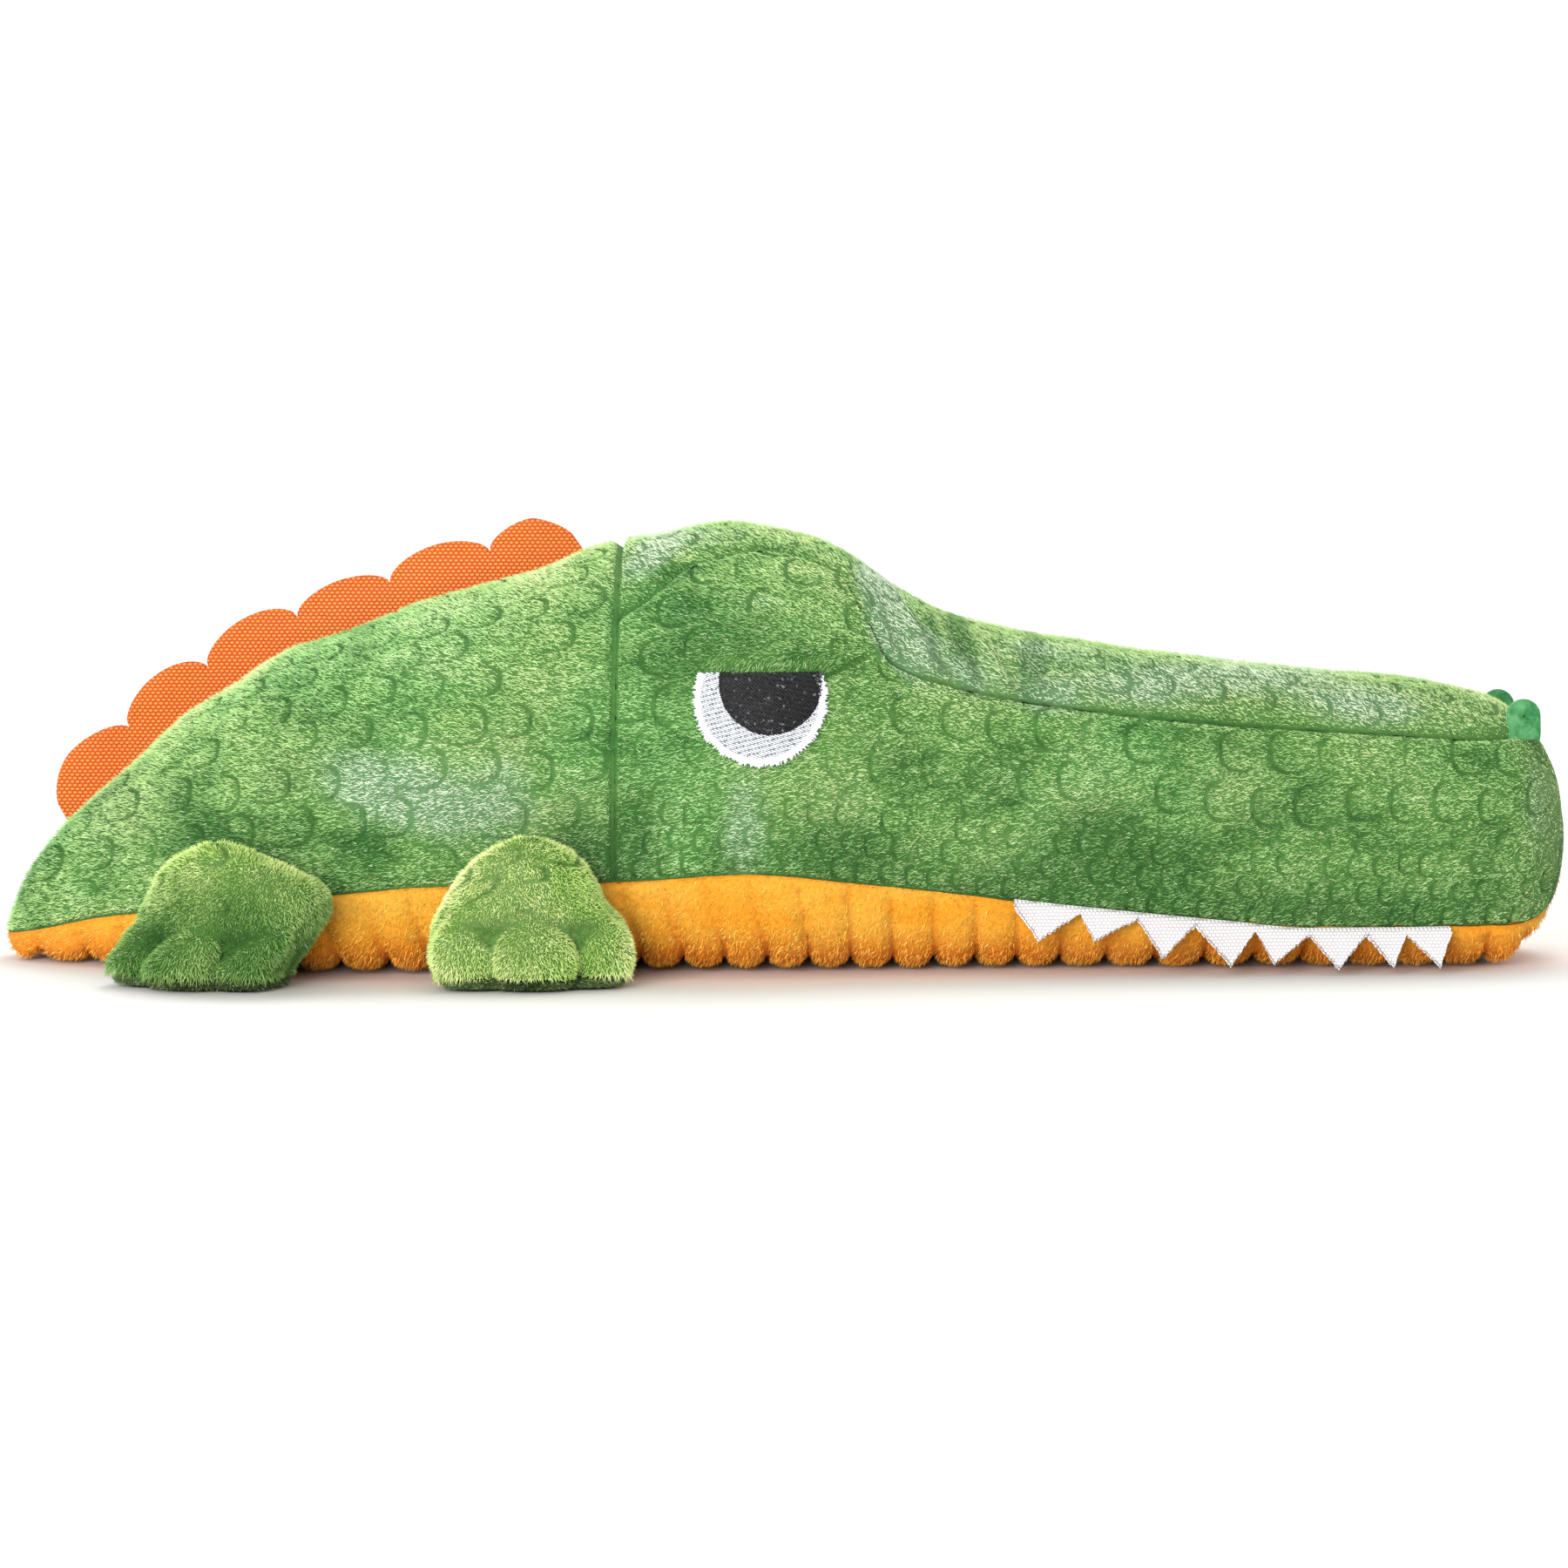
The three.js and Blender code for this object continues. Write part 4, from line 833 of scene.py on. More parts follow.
def thread_tree():
    """One laid thread for each point, along its run and as long as it says."""
    board = Growth("lay_threads", {"Width": "Float"})
    wide = board.given.other("Width")
    spots = board.node("GeometryNodeMeshToPoints", {}, {"Mesh": board.given})
    thread = board.node("GeometryNodeMeshUVSphere", {}, {"Segments": 6, "Rings": 6, "Radius": 0.5})
    turn = board.node("FunctionNodeAxesToRotation", {"primary_axis": "Z", "secondary_axis": "X"}, {
        "Primary Axis": board.named("run", "FLOAT_VECTOR"),
        "Secondary Axis": board.named("rise", "FLOAT_VECTOR"),
    })
    return board.laid(spots, thread, turn, (wide * 0.9, wide, board.named("long")), 4)


grow_pile, lay_threads = pile_tree(), thread_tree()


def grown_by(tree, host, name, values):
    """The plain mesh that a geometry tree makes on a host, which is then removed."""
    modifier = host.modifiers.new("tree", "NODES")
    modifier.node_group = tree
    for item in tree.interface.items_tree:
        if item.item_type == "SOCKET" and item.in_out == "INPUT" and item.name in values:
            modifier[item.identifier] = values[item.name]
    host.update_tag()
    bpy.context.view_layer.update()
    evaluated = host.evaluated_get(bpy.context.evaluated_depsgraph_get())
    mesh = bpy.data.meshes.new_from_object(evaluated)
    mesh.name = name
    host.modifiers.remove(modifier)
    bpy.data.objects.remove(host)
    return placed_object(name, mesh)


DENSITY = 1.0


def pile(name, face, nap, stand, groove, kind, material, seed):
    """Grows pile on a grid of points and returns it as one mesh. Its points stay off the floor."""
    count, length, width, ruffle = strands[kind]
    host = mesh_object(f"{name}_host", face, grid_faces(*face.shape[:2]), material)
    give(host.data, "nap", "FLOAT_VECTOR", unit(nap))
    give(host.data, "stand", "FLOAT", stand)
    # The groove attribute carries painted shade of grooves, seams, folds and creases into the pile's
    # colour
    give(host.data, "groove", "FLOAT", groove)
    area = sum(p.area for p in host.data.polygons)
    made = grown_by(grow_pile, host, name, {
        "Per Square Metre": float(count * DENSITY / area), "Seed": seed, "Length": length * MM,
        "Width": width * MM, "Ruffle": ruffle, "Material": material,
    })
    at = positions(made.data)
    foot = np.arange(len(at) // 3) % 4 == 0
    at[2::3] = np.maximum(at[2::3], LEAST_HEIGHT["pile"] * MM + 0.1 * MM * foot)
    made.data.vertices.foreach_set("co", at)
    return made


# ---- Panels ----
def seam_dip(*distances):
    return sum(bell(d, 0, SEAM_REACH) for d in distances)


def steps(low, high, size):
    """Even steps of about a size from low to high."""
    return np.linspace(low, high, max(int(round((high - low) / size)) + 1, 2))


green_plush = {"looks": green_looks, "slot": "plush", "fill": 0.9, "rise": 0.55}
orange_plush = {"looks": orange_looks, "slot": "belly_plush", "fill": 0.85, "rise": 0.7}


def sewn_panel(name, node, face, roll, groove, stand, comb, plush, kind, facing, seed):
    """One panel of the toy: backing with its dips pressed in, and pile that leans as comb says."""
    flip = "right" not in name and "top" not in name
    normals = outward(face, flip)
    skin = face - normals * (PILE_ROOM + roll)[..., None]
    skin[..., 2] = np.maximum(skin[..., 2], LEAST_HEIGHT["skin"])
    thin = coarser(skin, 2)
    looks = plush["looks"]
    cloth = walled(f"{name}_cloth", skin[thin], normals[thin], looks[1], not flip)
    nap = normals * plush["rise"] + comb
    fur = pile(f"{name}_pile", skin, nap, stand, groove, kind, looks[0], seed)
    for piece, replaced in ((cloth, node), (fur, None)):
        wrap_map(piece.data, (0, 0, 0.03), facing)
        dress(piece, "body", plush["slot"], replaced)


def pressed_short(lines, along):
    """The share of its length that pile keeps where the pressed lines shorten it."""
    return 1 - LINE_SHORT * combed(lines, along, 0.35, 0.7)


def from_neck(along):
    return np.abs(along - along_at(NECK_SHARE))


def free_of_brow(along):
    """Less where the gusset's seam runs over the brow and hardly dips."""
    return 1 - 0.8 * bell(along, BROW_PLACE, BROW_SPAN, 4)


def flank_panels(part, node, low_share, high_share, columns, seed):
    """The two side panels of the body or the head, which mirror each other."""
    head = part == "head_side"
    form = Form(steps(low_share, high_share, SKIN_STEP / TOY_LENGTH))
    bottom = form.seam(flank_seam_shares)
    top = form.seam(gusset_seam_shares) if head else np.ones((len(form.shares), 1))
    girths = -(bottom + (top - bottom) * np.linspace(0, 1, columns)[None, :])
    face = form.points(girths)
    up = (np.abs(girths) - bottom) * form.total
    down = (top - np.abs(girths)) * form.total
    along = face[..., 0]
    neck = from_neck(along)
    chin = np.clip((1 - form.shares) / 0.03, 0.15, 1)[:, None]
    free = free_of_brow(along) if head else 1
    dips = np.clip(seam_dip(down) * free + seam_dip(neck * 1.3) + seam_dip(up) * chin, 0, 1)
    eye = np.hypot(along - along_at(EYE_SHARE), face[..., 2] - EYE_HEIGHT)
    jaw = ramp(up, 26, -8) * ramp(along, -45, 10)

    def lines(x):
        if not head:
            return scale_lines(x, up, body_scales, seed) * ramp(up, 3, 4)
        large = scale_lines(x, up, head_scales, seed)
        small = scale_lines(x, up, jaw_scales, seed + 9)
        return (large * (1 - jaw) + small * jaw) * ramp(eye, 19, 4)

    lumps = waves(face, 34, seed) * LUMP_DEPTH
    roll = SEAM_DIP * dips * form.fading(0.1) + lines(along) + lumps * (1 - dips)
    if head:
        # The brow's lid: a ridge along its edge and a hollow over it, then a fold in front of it
        under_brow = bell(along, -4, 17, 4)
        rise = face[..., 2] - (EYE_HEIGHT + LID_RISE) - 0.12 * np.clip(along - 6, 0, 30)
        lid = LID_RIDGE * bell(rise, -0.9, 1.2) - LID_HOLLOW * bell(rise, 4.2, 3.2)
        tilted = face[..., 2] - 73.8 - 0.45 * (along - 10)
        fold = np.exp(-((along - 15.5) / 6) ** 4 - (tilted / 0.9) ** 2)
        roll += under_brow * lid
        roll += FOLD_DEPTH * fold
    edges = np.clip(seam_dip(neck * 1.3, down * 1.2, up * 1.5), 0, 1)
    stand = pressed_short(lines, along) * (1 - SEAM_SHORT * edges) * tufted(face, seed)
    comb = combing(face, seed, (-0.95, 0, -0.1))
    seams = seam_dip(neck * 2.0, up * 2.4) + seam_dip(down * 2.1) * free
    shade = np.maximum(combed(lines, along, 0.25), np.clip(seams, 0, 1))
    if head:
        stand *= 1 - NECK_SHORT * bell(neck, 0, NECK_REACH)
        hang = under_brow * bell(rise, 1.6, 2.2)
        comb += hang[..., None] * np.array([0.5, 0, -0.75])
        stand *= 1 + 0.15 * hang
        stand *= 1 - 0.5 * fold
        shade = np.maximum(shade, 0.85 * fold)
    for side, shape, aside in zip(sides, (face, mirrored(face)), (-1, 1)):
        sewn_panel(
            f"{part}_{side}", f"{node}_{side}", shape, roll, shade, stand, comb, green_plush, part,
            (0, aside, 0), seed + (side == "left"),
        )


flank_panels("back", "back_panel", -END_SHARE, NECK_SHARE, 221, 11)
flank_panels("head_side", "head_side", NECK_SHARE, 1 + END_SHARE, 161, 21)


def head_top():
    """The gusset between the head's sides, from the neck over the brow to the snout's tip."""
    form = Form(steps(NECK_SHARE, 1 + END_SHARE, SKIN_STEP / TOY_LENGTH))
    seam = form.seam(gusset_seam_shares)
    columns = 161
    spread = np.linspace(-1, 1, columns)[None, :]
    reach = (1 - seam) * np.abs(spread)
    girths = np.where(spread < 0, -(1 - reach), 1 - reach)
    face = form.points(girths)
    face[:, columns // 2, 1] = 0
    along = face[..., 0]
    edge = (np.abs(girths) - seam) * form.total
    neck = from_neck(along)
    free = free_of_brow(along)
    dips = np.clip(seam_dip(edge) * free + seam_dip(neck * 1.3), 0, 1) * form.fading(0.1)
    across = (1 - np.abs(girths)) * form.total * np.sign(spread)

    def lines(x):
        return scale_lines(x, across + 60, crown_scales, 33) * ramp(edge, 2, 3)

    # Creases across the snout's root, where it bends up to the brow
    wrinkle = bell(along, CREASE_PLACE, CREASE_SPAN) * np.clip(1 - edge / 30, 0, 1)
    wrinkle = wrinkle * ramp(edge, 0, 3)
    turns = (along + 0.35 * edge + 2.2 * waves(face, 21, 39)) / CREASE_PITCH
    creases = wrinkle * np.sin(turns * 2 * math.pi) * (1.7 + 0.6 * waves(face, 27, 43))
    roll = SEAM_DIP * dips + lines(along) + waves(face, 30, 37) * LUMP_DEPTH * (1 - dips) + creases
    stand = pressed_short(lines, along) * tufted(face, 33)
    stand *= 1 - SEAM_SHORT * np.clip(seam_dip(neck * 1.3, edge * 1.2), 0, 1)
    stand *= 1 - NECK_SHORT * bell(neck, 0, NECK_REACH)
    seams = np.clip(seam_dip(neck * 2.0) + seam_dip(edge * 2.1) * free, 0, 1)
    shade = np.maximum(combed(lines, along, 0.25), seams)
    shade = np.maximum(shade, 0.6 * np.clip(creases - 0.5, 0, 1))
    comb = combing(face, 37, (-0.95, 0, 0.05))
    sewn_panel(
        "head_top", "head_top_panel", face, roll, shade, stand, comb, green_plush, "head_top",
        (0, 0, 1), 41,
    )


head_top()


def belly():
    """The ribbed panel from seam to seam under the toy."""
    form = Form(steps(-END_SHARE, 1 + END_SHARE, RIB_STEP / TOY_LENGTH))
    seam = form.seam(flank_seam_shares)
    girths = seam * np.linspace(-1, 1, 221)[None, :]
    face = form.points(girths)
    edge = (seam - np.abs(girths)) * form.total
    # Ribs, which lean forwards near the seam in the rear half and are deepest at the floor
    lean = RIB_LEAN * ramp(form.shares, 0.54, -0.06)[:, None]
    leaned = form.shares[:, None] + lean * np.clip(RIB_LEAN_REACH - edge, 0, None) / TOY_LENGTH
    phase = np.mod(follow(rib_counts, leaned), 1)
    near = np.minimum(phase, 1 - phase) * 2
    valley = 1 - np.sqrt(1 - (1 - near) ** 2)
    low = 1 - ramp(face[..., 2], 3, 14)
    ends = form.fading(0)
    rib = valley * (RIB_DEPTH + LOW_RIB_DEPTH * low) * np.clip(edge / 4, 0.3, 1) * ends
    dips = np.clip(seam_dip(edge), 0, 1)
    chin = ramp(form.shares, 0.965, 0.03)[:, None] * ends
    roll = rib + SEAM_DIP * 0.6 * dips * ends + waves(face, 26, 51) * 0.3 + 1.2 * chin
    groove = bell(near, 0, 0.16)
    shade = np.maximum(groove * (0.7 + 0.3 * low), 0.8 * np.clip(seam_dip(edge * 2.0), 0, 1))
    stand = (1 - 0.4 * groove) * (1 - 0.4 * dips)
    sewn_panel(
        "belly", "belly_panel", face, roll, shade, stand, (-0.5, 0, -0.35), orange_plush, "belly",
        (0, 0, -1), 55,
    )


belly()


# ---- Legs ----
def leg_ring(leg, pivot_height, z, inset, degrees):
    """The leg's outline at one height, in its own frame: X along its hinge, -Y outwards."""
    share = z / leg["height"]
    near = inset
    if z > pivot_height:
        near = (z - pivot_height) / math.tan(LEG_SLOPE) + inset / math.sin(LEG_SLOPE)
    far = max(leg["reach"] * follow(leg_reach_shares, share) - inset, near + LEAST_TOP)
    wide = leg["width"] / 2 * follow(leg["width_shares"], share) - inset
    crease = TOE_CREASE * follow(toe_crease_shares, share)
    angle = np.asarray(degrees, float)
    turn = np.radians(angle)
    cosine = np.cos(turn)
    out = np.where(cosine > 0, cosine, -np.sqrt(np.clip(-cosine, 0, None)))
    toed = np.abs(np.cos(np.pi * angle / TOE_DEGREES))
    pinch = 1 - crease * np.where(np.abs(angle) < 2 * TOE_DEGREES, 1 - toed, 0) / wide
    x = leg["lean"] * (1 - share) + wide * np.sin(turn) * pinch
    y = -(near + far) / 2 - (far - near) / 2 * out * pinch
    return np.stack([x, y, np.full_like(x, z)], axis=-1)


def leg_frame(joint_name):
    """A leg's side, its turn from the toy's length and the place of its hinge."""
    joint = next(j for j in frame["joints"] if j["name"] == joint_name)
    side = -1 if "right" in joint_name else 1
    axis = joint["axis"]
    return side, math.atan2(-axis[1], axis[0] * side), [c / MM for c in joint["pos_m"]]


def faced_out(made):
    """Turns a closed mesh's faces outwards by the sign of its volume."""
    mesh = made.data
    mesh.calc_loop_triangles()
    at = np.array([v.co[:] for v in mesh.vertices])
    corners = at[np.array([t.vertices[:] for t in mesh.loop_triangles])]
    if np.einsum("ij,ij->i", corners[:, 0], np.cross(corners[:, 1], corners[:, 2])).sum() < 0:
        mesh.flip_normals()
    return made


def stuffed_leg(name, leg, seed):
    """A leg's cover and sole, each with its pile, which ride the leg's own body."""
    side, turn, pivot = leg_frame(f"{name}_swing")

    def placed(points):
        c, s = math.cos(turn), math.sin(turn)
        x = points[..., 0] * c - points[..., 1] * s + pivot[0]
        y = points[..., 0] * s + points[..., 1] * c - abs(pivot[1])
        return np.stack([x, y if side < 0 else -y, points[..., 2]], axis=-1)

    def pointed(vectors):
        return placed(vectors) - placed(np.zeros(3))

    # Rings from the sole up, which close over the top, slant, and swell into toes
    degrees = np.linspace(-180, 180, 201)
    tall, toe_height = leg["height"], leg["toe_height"]
    levels = np.concatenate([
        steps(SOLE_CLOTH + 0.3, tall - 2.5, LEG_STEP), tall - np.array([1.8, 1.1, 0.5, 0.1]),
    ])
    rings = np.array([leg_ring(leg, pivot[2], z, 0, degrees) for z in levels])
    top = ramp(levels, tall - LEG_CLOSING, LEG_CLOSING)
    centre = rings[:, :-1].mean(axis=1, keepdims=True)
    rings = centre + (rings - centre) * np.sqrt(1 - 0.97 * top ** 2.6)[:, None, None]
    rings[..., 0] += follow(leg["slants"], levels / tall)[:, None]
    rings[..., 2] = levels[:, None]
    centre = rings[:, :-1].mean(axis=1, keepdims=True)
    away = unit((rings - centre) * np.array([1, 1, 0]))
    forward = np.clip(1.6 - np.abs(degrees) / 75, 0, 1)
    low = bell(levels, toe_height, 8.5)[:, None]
    up = ((levels[:, None] - toe_height) / 10) ** 2
    toes = np.maximum.reduce([
        np.clip(1 - ((degrees[None, :] - toe) / spread) ** 2 - up, 0, 1) ** 0.6
        for toe, spread in TOES
    ])
    swell = (TOE_SWELL * toes - CREASE_DEPTH * low) * forward[None, :]
    rings = rings + away * swell[..., None]
    round_about = np.concatenate([rings[:, -2:-1], rings, rings[:, 1:2]], axis=1)
    normals = unit(np.cross(np.gradient(round_about, axis=1)[:, 1:-1], np.gradient(rings, axis=0)))
    bowed = rings[..., 2] + 0.02 * rings[..., 0] ** 2
    lines = scale_lines(rings[..., 0] + 40, bowed, toe_scales, seed)
    lines *= ramp(rings[..., 2], 17, 3) * forward[None, :]
    depth = PILE_ROOM + SCALE_DEPTH * lines + waves(rings, 14, seed) * LEG_LUMP_DEPTH
    skin = rings - normals * depth[..., None]

    # The cover: its lining and its skin as one closed tube, and the pile on the skin
    thin = (slice(None, None, 2), slice(None, -1, 2))
    lining = skin - normals * PLUSH_BACKING
    shell = np.concatenate([lining[thin][::-1], skin[thin]])
    cloth = faced_out(tube(f"{name}_cloth", placed(shell), leg_looks[1]))
    creased = low * (1 - toes) ** 4 * forward[None, :]
    shade = np.maximum(np.clip(1.3 * creased, 0, 1), lines)
    hanging = np.clip((np.abs(degrees) - 30) / 12, 0.15 if leg is front_leg else 1, 1)
    skirt = ramp(levels, 5.5, -2.2)[:, None] * np.clip(toes * 1.6, 0, 1) * hanging
    tucked = ramp(levels, pivot[2], 3)[:, None] * ramp(np.abs(degrees), 100, 25)
    nap = pointed(normals) * 0.9 + combing(rings, seed, (0, 0, -0.4))
    nap = nap - skirt[..., None] * np.array([0, 0, 1.6])
    stand = (1 - 0.6 * shade) * (1 + 0.9 * skirt) * (1 - 0.55 * tucked)
    fur = pile(f"{name}_pile", placed(skin), nap, stand, shade, "leg", leg_looks[0], seed)

    # The sole: rings down to the floor, filled below and above, with pile round the edge
    rows = np.array([leg_ring(leg, pivot[2], z, inset, degrees) for z, inset, _ in SOLE_RINGS])
    swelled = np.array([[share] for _, _, share in SOLE_RINGS])
    rows = rows + away[:1] * (swell[:1] * swelled)[..., None]
    rows[..., 0] += leg["slants"][0][1]
    hub = rows[:1].copy()
    middle = hub[0, :, :2].mean(axis=0)
    hub[0, :, :2] = middle + (hub[0, :, :2] - middle) * 0.04
    lid = hub + np.array([0, 0, SOLE_CLOTH])
    sole_shape = np.concatenate([hub, rows, lid])[:, :-1:2]
    sole = faced_out(tube(f"{name}_sole_cloth", placed(sole_shape), sole_looks[1]))
    strip = placed(rows[1:])
    nap = pointed(np.repeat(away[:1], len(strip), axis=0)) + np.array([0, 0, -0.1])
    sole_fur = pile(
        f"{name}_sole_pile", strip, nap, np.ones(strip.shape[:2]), np.zeros(strip.shape[:2]),
        "sole", sole_looks[0], seed + 4,
    )
    centre = [pivot[0] * MM, side * (abs(pivot[1]) + leg["reach"] / 2) * MM, 0.015]
    for piece, slot, node in (
        (cloth, "leg_plush", f"{name}_cover"), (fur, "leg_plush", None),
        (sole, "dark_plush", f"{name}_sole"), (sole_fur, "dark_plush", None),
    ):
        wrap_map(piece.data, centre, (0, side, 0), True)
        dress(piece, name, slot, node)


for number, (end, leg) in enumerate(legs):
    for side in sides:
        stuffed_leg(f"leg_{end}_{side}", leg, 61 + 10 * number + (side == "left"))


# ---- Fin ----
def arch_heights(shares):
    """The fin's height: arches with valleys between them, and lower ends."""
    ends = fin_arch_shares[0], fin_arch_shares[-1]
    heights = np.zeros(len(shares))
    for low, high in zip(fin_arch_shares, fin_arch_shares[1:]):
        inside = (shares >= low) & (shares <= high)
        part = np.clip((shares[inside] - low) / (high - low), 0, 1)
        at_end = ((low == ends[0]) & (part < 0.5)) | ((high == ends[1]) & (part > 0.5))
        valley = np.where(at_end, FIN_END, FIN_VALLEY)
        heights[inside] = valley + (FIN_PEAK - valley) * np.sqrt(np.clip(np.sin(math.pi * part), 0, 1))
    return heights


def fin():
    """The scalloped strip of nylon that stands in the back's seam."""
    first, last = fin_arch_shares[0], fin_arch_shares[-1]
    shares = np.unique([*steps(first, last, FIN_STEP / TOY_LENGTH), *fin_arch_shares])
    back = np.stack([along_at(shares), follow(crown_shares, shares) * CROWN_HEIGHT], axis=1)
    run = unit(np.gradient(back, axis=0))
    square = np.stack([-run[:, 1], run[:, 0]], axis=1)
    top = arch_heights(shares)[:, None]
    parts = np.array([0, 0.12, 0.3, 0.5, 0.7, 0.84, 0.93, 0.98, 1.0])
    heights = -FIN_TUCK + (top + FIN_TUCK) * parts[None, :]
    flat = back[:, None, :] + square[:, None, :] * heights[..., None]
    left = top - heights
    half = FIN_THICKNESS / 2 * np.sqrt(np.clip(1 - (1 - np.clip(left / 0.9, 0, 1)) ** 2, 0.05, 1))
    half = half * (1 - 0.18 * bell(left, 1.9, 0.45))
    wave = 0.7 * np.sin(flat[..., 0] / 21) * np.clip(heights / 9, 0, 1) ** 2
    faces = (np.stack([flat[..., 0], wave + sign * half, flat[..., 1]], axis=2) for sign in (-1, 1))
    dress(slab("fin_nylon", *faces, fin_nylon), "body", "nylon", "back_fin")


fin()


# ---- Teeth ----
def tooth_lengths(shares):
    """How far the strip of teeth hangs down: valleys with straight-sided teeth between them."""
    lengths = np.full(len(shares), TOOTH_VALLEY, float)
    ends = zip(tooth_valley_shares, tooth_valley_shares[1:])
    for (start, end), tip, long in zip(ends, tooth_tip_shares, TOOTH_LENGTHS):
        inside = (shares >= start) & (shares <= end)
        rise = np.where(shares < tip, (shares - start) / (tip - start), (end - shares) / (end - tip))
        lengths[inside] = (TOOTH_VALLEY + (long - TOOTH_VALLEY) * np.clip(rise, 0, 1) ** 1.08)[inside]
    return lengths


def teeth(side):
    """One strip of teeth: tucked into the seam, folded over and hung down."""
    first, last = tooth_valley_shares[0], tooth_valley_shares[-1]
    corners = tooth_valley_shares + tooth_tip_shares
    shares = np.unique([*steps(first, last, TEETH_STEP / TOY_LENGTH), *corners])
    form = Form(shares)
    seam = form.points(-form.seam(flank_seam_shares))[:, 0]
    rag = TEETH_RAG * (hashed(np.arange(len(shares)), 1, 5) - 0.5)
    rag = rag + 0.2 * np.sin(shares * TOY_LENGTH * 5.1)
    lengths = np.maximum(tooth_lengths(shares) + rag, 0.5)
    drop = np.array([0, -math.sin(TEETH_FLARE), -math.cos(TEETH_FLARE)])
    fold = seam + np.array([0, -TEETH_STAND_OFF, 0])
    lines = [seam + np.array([0, TEETH_TUCK, 0.4]), fold + np.array([0, 0.5, 0.3])]
    sway = np.stack([0.25 * np.sin(shares * 97), -0.35 * np.sin(shares * 61), 0 * shares], axis=1)
    for part in np.linspace(0, 1, 10):
        curl = TEETH_CURL * math.sin(part * math.pi / 2) ** 2
        hanging = fold + drop * (lengths * part)[:, None] + np.array([0, -curl * 0.4, 0])
        lines.append(hanging + sway * part)
    grid = np.stack(lines, axis=1)
    normals = outward(grid)
    if normals[len(normals) // 2, 6, 1] > 0:
        normals = -normals
    faces = [grid + normals * TEETH_HALF_CLOTH, grid - normals * TEETH_HALF_CLOTH]
    for face in faces:
        face[..., 2] = np.maximum(face[..., 2], LEAST_HEIGHT["teeth"])
    if side == "left":
        faces = [mirrored(face) for face in faces]
    made = slab(f"teeth_{side}_cloth", *faces, tooth_weave, side == "right")
    dress(made, "body", "teeth_cloth", f"teeth_{side}")
    run = np.concatenate([[0], np.cumsum(np.linalg.norm(np.diff(seam, axis=0), axis=1))])
    sewn = TEETH_TUCK + TEETH_STAND_OFF
    area = float(np.sum((lengths[1:] + lengths[:-1]) / 2 * np.diff(run)) + sewn * run[-1]) * MM * MM
    flat = (float(lengths.max() + sewn) * MM, float(run[-1]) * MM)
    area = min(area, flat[0] * flat[1])


for side in sides:
    teeth(side)


# ---- Eyes ----
def cheek(x, z, off):
    """The toy's right cheek at (x, z) in side view, off millimetres outwards."""
    form = Form(np.asarray(x) / TOY_LENGTH + 0.5)
    y = np.array([np.interp(h, zs, ys) for h, zs, ys in zip(z, form.z, form.y)])
    return np.stack([x, -(y + off), z], axis=1)


def threads(name, stitches, off, width, material, side):
    """Stitches, pairs of starts and ends (x, z), laid on the cheek."""
    a, b = (cheek(at[:, 0], at[:, 1], off) for at in np.array(stitches, float).transpose(1, 0, 2))
    if side == "left":
        a, b = mirrored(a), mirrored(b)
    host = mesh_object(f"{name}_spots", (a + b) / 2, [], material)
    give(host.data, "run", "FLOAT_VECTOR", unit(b - a))
    rise = [[0, -1 if side == "right" else 1, 0.2]]
    give(host.data, "rise", "FLOAT_VECTOR", np.repeat(rise, len(a), axis=0))
    give(host.data, "long", "FLOAT", np.linalg.norm(b - a, axis=1) * 0.98 * MM)
    made = grown_by(lay_threads, host, name, {"Width": width * MM, "Material": material})
    made.data.shade_smooth()
    return made


def fill_rows(centre, radius, lid, slope, pitch, stitch, seed, clear=None):
    """Rows of straight stitches, end to end and staggered, that fill a lidded disc outside clear."""
    way = np.array([math.cos(slope), math.sin(slope)])
    aside = np.array([-way[1], way[0]])
    stitches = []
    for k, offset in enumerate(np.arange(-radius, radius, pitch)):
        for n, step in enumerate(np.arange(-radius - stitch, radius, stitch)):
            jitter = stitch * (0.37 * (k % 3) + 0.2 * hashed(k, n, seed))
            a = np.array(centre) + aside * offset + way * (step + jitter)
            line = a[None, :] + way[None, :] * np.linspace(0, stitch, 9)[:, None]
            good = (np.hypot(*(line - centre).T) <= radius) & (line[:, 1] <= lid)
            if clear:
                good &= np.hypot(*(line - clear[0]).T) > clear[1]
            if good.sum() > 1:
                stitches.append((line[good][0], line[good][-1]))
    return stitches


def eye_base(name, disc, radius, lid, off, material, flip):
    """The cloth disc under the stitches, cut off by the lid."""
    ring = np.linspace(0, 2 * math.pi, 73)[:-1]
    reaches = np.linspace(0.02, 1, 12)
    top = np.array([
        cheek(disc[0] + radius * reach * np.cos(ring),
              np.minimum(disc[1] + radius * reach * np.sin(ring), lid), off) for reach in reaches
    ])
    points = np.stack([top, top + np.array([0, 1.6, 0])])
    rows, columns, count = len(reaches), len(ring), top.shape[0] * top.shape[1]
    hub = np.arange(columns)
    last = hub + (rows - 1) * columns
    after = np.roll(last, -1)
    rim = zip(last, last + count, after + count, after)
    faces = [
        *grid_faces(rows, columns, 0, flip, True), *grid_faces(rows, columns, count, not flip, True),
        *turned(rim, flip), *turned([hub[::-1], hub + count], flip),
    ]
    return mesh_object(name, mirrored(points) if flip else points, faces, material)


